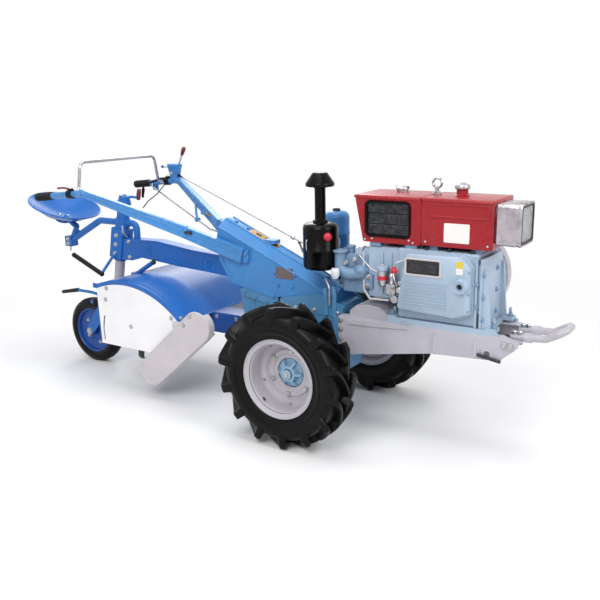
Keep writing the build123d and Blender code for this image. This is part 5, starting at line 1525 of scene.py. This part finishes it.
def rotor():
    stations = [FIRST_TINE + (LAST_TINE - FIRST_TINE) * i / (TINES - 1) for i in range(TINES)]
    s = Shape("tine").cad("rotor_shaft")
    for o in BOTH:
        for y in stations:
            s.ring(32, 46, -5, 5, ROTOR + Vector((0, o * (y + 9), 0)))
    s.stand_in("rotor_shaft")
    # along a tine: radius, sideways bend and backward sweep
    line = curve_through([(31, 0, 0), (80, 0, 0), (130, 0, -4), (165, 2, -10), (184, 10, -16),
                          (193, 24, -20), (195, 42, -22)], 3)
    s = Shape("tine")
    for o in BOTH:
        for i, y in enumerate(stations):
            hand = -1 if i >= TINES / 2 else 1
            turn = radians(-i * 135)
            u, v = Vector((cos(turn), 0, sin(turn))), Vector((-sin(turn), 0, cos(turn)))
            rings = []
            for k, (r, side, back) in enumerate(line):
                wide = 22 - 5 * k / 18      # half the blade's width, 17 at its tip
                half, near = v * wide, v * (wide - 6)
                at = ROTOR + u * r + v * back + Vector((0, o * (y + hand * side), 0))
                flat = Vector((0, 4, 0)) if side < 8 else u * 3 * min(1, side / 20) + Vector((0, 1.5, 0))
                rings.append([at + half, at + near + flat, at - half + flat,
                              at - half - flat, at + near - flat])
            s.use("tine").skin(rings)
            s.use("zinc").bolt(ROTOR + u * 40 + Vector((0, o * (y - 4), 0)), (0, -o, 0), 13, 6)
    s.stand_in("tines", "tine_blades", bevel=0.6)


def tiller_drive():
    s = Shape("deep_blue").cad("tiller_drive_case")
    s.use("zinc")
    for o in BOTH:
        s.bolts(o * 34, ((-1040, 320), (-960, 310), (-1046, 392), (-940, 420), (-860, 350), (-800, 340),
                         (-850, 450)), 14, 7)
        for z in (315, 385, 450, 505):
            s.bolt((-244, o * 72, z), (-1, 0, 0), 15, 8)
        s.bolts(o * 62, [(x, 404) for x in (-640, -520, -400, -300)], 14, 7)
    s.stand_in("tiller_drive_case", bevel=2.5)


def rear_flap():
    b = box("rear_flap")
    x = b.x0
    s = Shape("blue").cad("rear_flap")
    for z in row(3, b.z0 + 40, 80):
        s.plate([(x + 6, z), (x + 1.5, z + 4), (x + 1.5, z + 12), (x + 6, z + 16)], -270, 270)
    s.pipe([(x + 7, y, b.z0 + 3) for y in (-286, 286)], 5, 0, 12)
    s.stand_in("rear_flap", bevel=0.8)
    s = Shape("blue").cad("depth_rod")
    z = on_hood(-1190, 0).z
    s.use("dark").rod((-1066, -50, z + 73), (-1056, -50, z + 79), 13, n=20)
    s.stand_in("depth_rod", bevel=1)


def foot_bar():
    start, end, grooves = Vector((-1620, -100, 640)), Vector((-1396, -100, 547)), 22
    length = (end - start).length
    profile = [(0, 0), (11, 0), (13, 3)] + corrugated(5, grooves, (length - 12) / grooves, 13, 11.2)
    profile += [(13, length - 3), (11, length), (0, length)]
    s = Shape("rubber").lathe(profile, start, end - start, 24)
    s.use("blue").rod((-1352, -46, 655), (-1406, -98, 552), 8, n=20)
    s.lathe([(0, -3), (18, -3), (18, 2), (0, 2)], (-1352, -44, 655), (0, -1, 0), 24)
    s.stand_in("foot_bar", "foot_bar_rubber")


rails()
bumper_and_stand()
transmission()
console()
under_console()
for side, out in SIDES:
    handlebar(side, out)
grips()
grab_hoop()
lever_tower()
bar_clamps()
control_rods()
control_cable()
throttle_arm()
seat_pan()
seat_arm()
tail_beam()
tail_column()
tail_wheel()
hood()
for side, out in SIDES:
    side_cover(side, out)
soil_guard()
rotor()
tiller_drive()
rear_flap()
foot_bar()


# ---------------------------------------------------------------- camera, lights and floor
CAMERA = Vector((2178.6, -2931.7, 1422.9)) * MM
YAW, PITCH, ROLL = radians(123.14), radians(14.31), radians(-1.17)
FOCAL_LENGTH = 45.88    # mm, on a sensor 36 mm wide
# name, place and size in metres, power in watts
LAMPS = (("key", (1.2, -4.6, 4.4), 3.2, 210), ("front", (5.2, -0.6, 3.0), 2.6, 110),
         ("back", (-3.4, 4.2, 3.6), 3.0, 120), ("top", (0.0, 0.0, 5.2), 3.6, 120))
LAMPS_AIM = Vector((0, 0, 0.5))
WORLD_LIGHT = 0.42      # strength of the world's light on the object
FLOOR_HALF = 14         # metres
FADE = (1.5, 3.6)       # the floor turns white between these distances


def shown_rays(tree):
    """1 for the rays that see the background: from the camera, off metal or through glass."""
    rays = tree.nodes.new("ShaderNodeLightPath")
    either = rays.outputs["Is Camera Ray"]
    for name in ("Is Glossy Ray", "Is Transmission Ray"):
        larger = tree.nodes.new("ShaderNodeMath")
        larger.operation = "MAXIMUM"
        tree.links.new(either, larger.inputs[0])
        tree.links.new(rays.outputs[name], larger.inputs[1])
        either = larger.outputs[0]
    return either


def floor_finish():
    """Pale floor that takes the shadow near the object and runs out to white."""
    n = paint("floor_paint", (236.15, 236.15, 237.39), 0.85, vary=0.01, dust_and_reflection=0.0, wear_and_highlight=0.0, specular=0.2)
    spread = n.add("ShaderNodeVectorMath", operation="LENGTH")
    n.link(n.place, spread.inputs[0])
    white = n.add("ShaderNodeEmission")
    white.inputs["Color"].default_value = (1, 1, 1, 1)
    blend = n.add("ShaderNodeMixShader")
    far = n.span(spread.outputs["Value"], *FADE)
    n.link(n.math("MULTIPLY", far, shown_rays(n.tree)), blend.inputs["Fac"])
    n.link(n.shader.outputs["BSDF"], blend.inputs[1])
    n.link(white.outputs["Emission"], blend.inputs[2])
    n.link(blend.outputs["Shader"], n.tree.nodes["Material Output"].inputs["Surface"])
    return n.material


def place_camera():
    """The photograph's viewpoint."""
    ahead = Vector((cos(YAW) * cos(PITCH), sin(YAW) * cos(PITCH), -sin(PITCH)))
    right = Vector((sin(YAW), -cos(YAW), 0))
    up = right.cross(ahead)
    right, up = right * cos(ROLL) + up * sin(ROLL), up * cos(ROLL) - right * sin(ROLL)
    camera = bpy.data.cameras.new("camera")
    camera.sensor_width = 36
    camera.lens = FOCAL_LENGTH
    obj = bpy.data.objects.new("camera", camera)
    obj.matrix_world = Matrix.Translation(CAMERA) @ Matrix((right, up, -ahead)).transposed().to_4x4()
    bpy.context.scene.collection.objects.link(obj)
    bpy.context.scene.camera = obj


def light_scene():
    for name, spot, size, power in LAMPS:
        lamp = bpy.data.lights.new(name, "AREA")
        lamp.size = size
        lamp.energy = power
        light = bpy.data.objects.new(name, lamp)
        light.location = spot
        light.rotation_euler = (LAMPS_AIM - Vector(spot)).to_track_quat("-Z", "Y").to_euler()
        bpy.context.scene.collection.objects.link(light)
    world = bpy.data.worlds.new("studio")
    world.use_nodes = True
    bpy.context.scene.world = world
    nodes, links = world.node_tree.nodes, world.node_tree.links
    strength = nodes.new("ShaderNodeMapRange")
    strength.inputs["To Min"].default_value = WORLD_LIGHT
    strength.inputs["To Max"].default_value = 1.0
    links.new(shown_rays(world.node_tree), strength.inputs["Value"])
    links.new(strength.outputs["Result"], nodes["Background"].inputs["Strength"])
    nodes["Background"].inputs["Color"].default_value = (1, 1, 1, 1)


def lay_floor():
    mesh = bpy.data.meshes.new("floor")
    corners = rectangle(-FLOOR_HALF, FLOOR_HALF, -FLOOR_HALF, FLOOR_HALF)
    mesh.from_pydata([(x, y, 0) for x, y in corners], [], [(0, 1, 2, 3)])
    mesh.materials.append(floor_finish())
    floor = bpy.data.objects.new("floor", mesh)
    bpy.context.scene.collection.objects.link(floor)


place_camera()
light_scene()
lay_floor()
bpy.context.scene.view_settings.view_transform = "Standard"
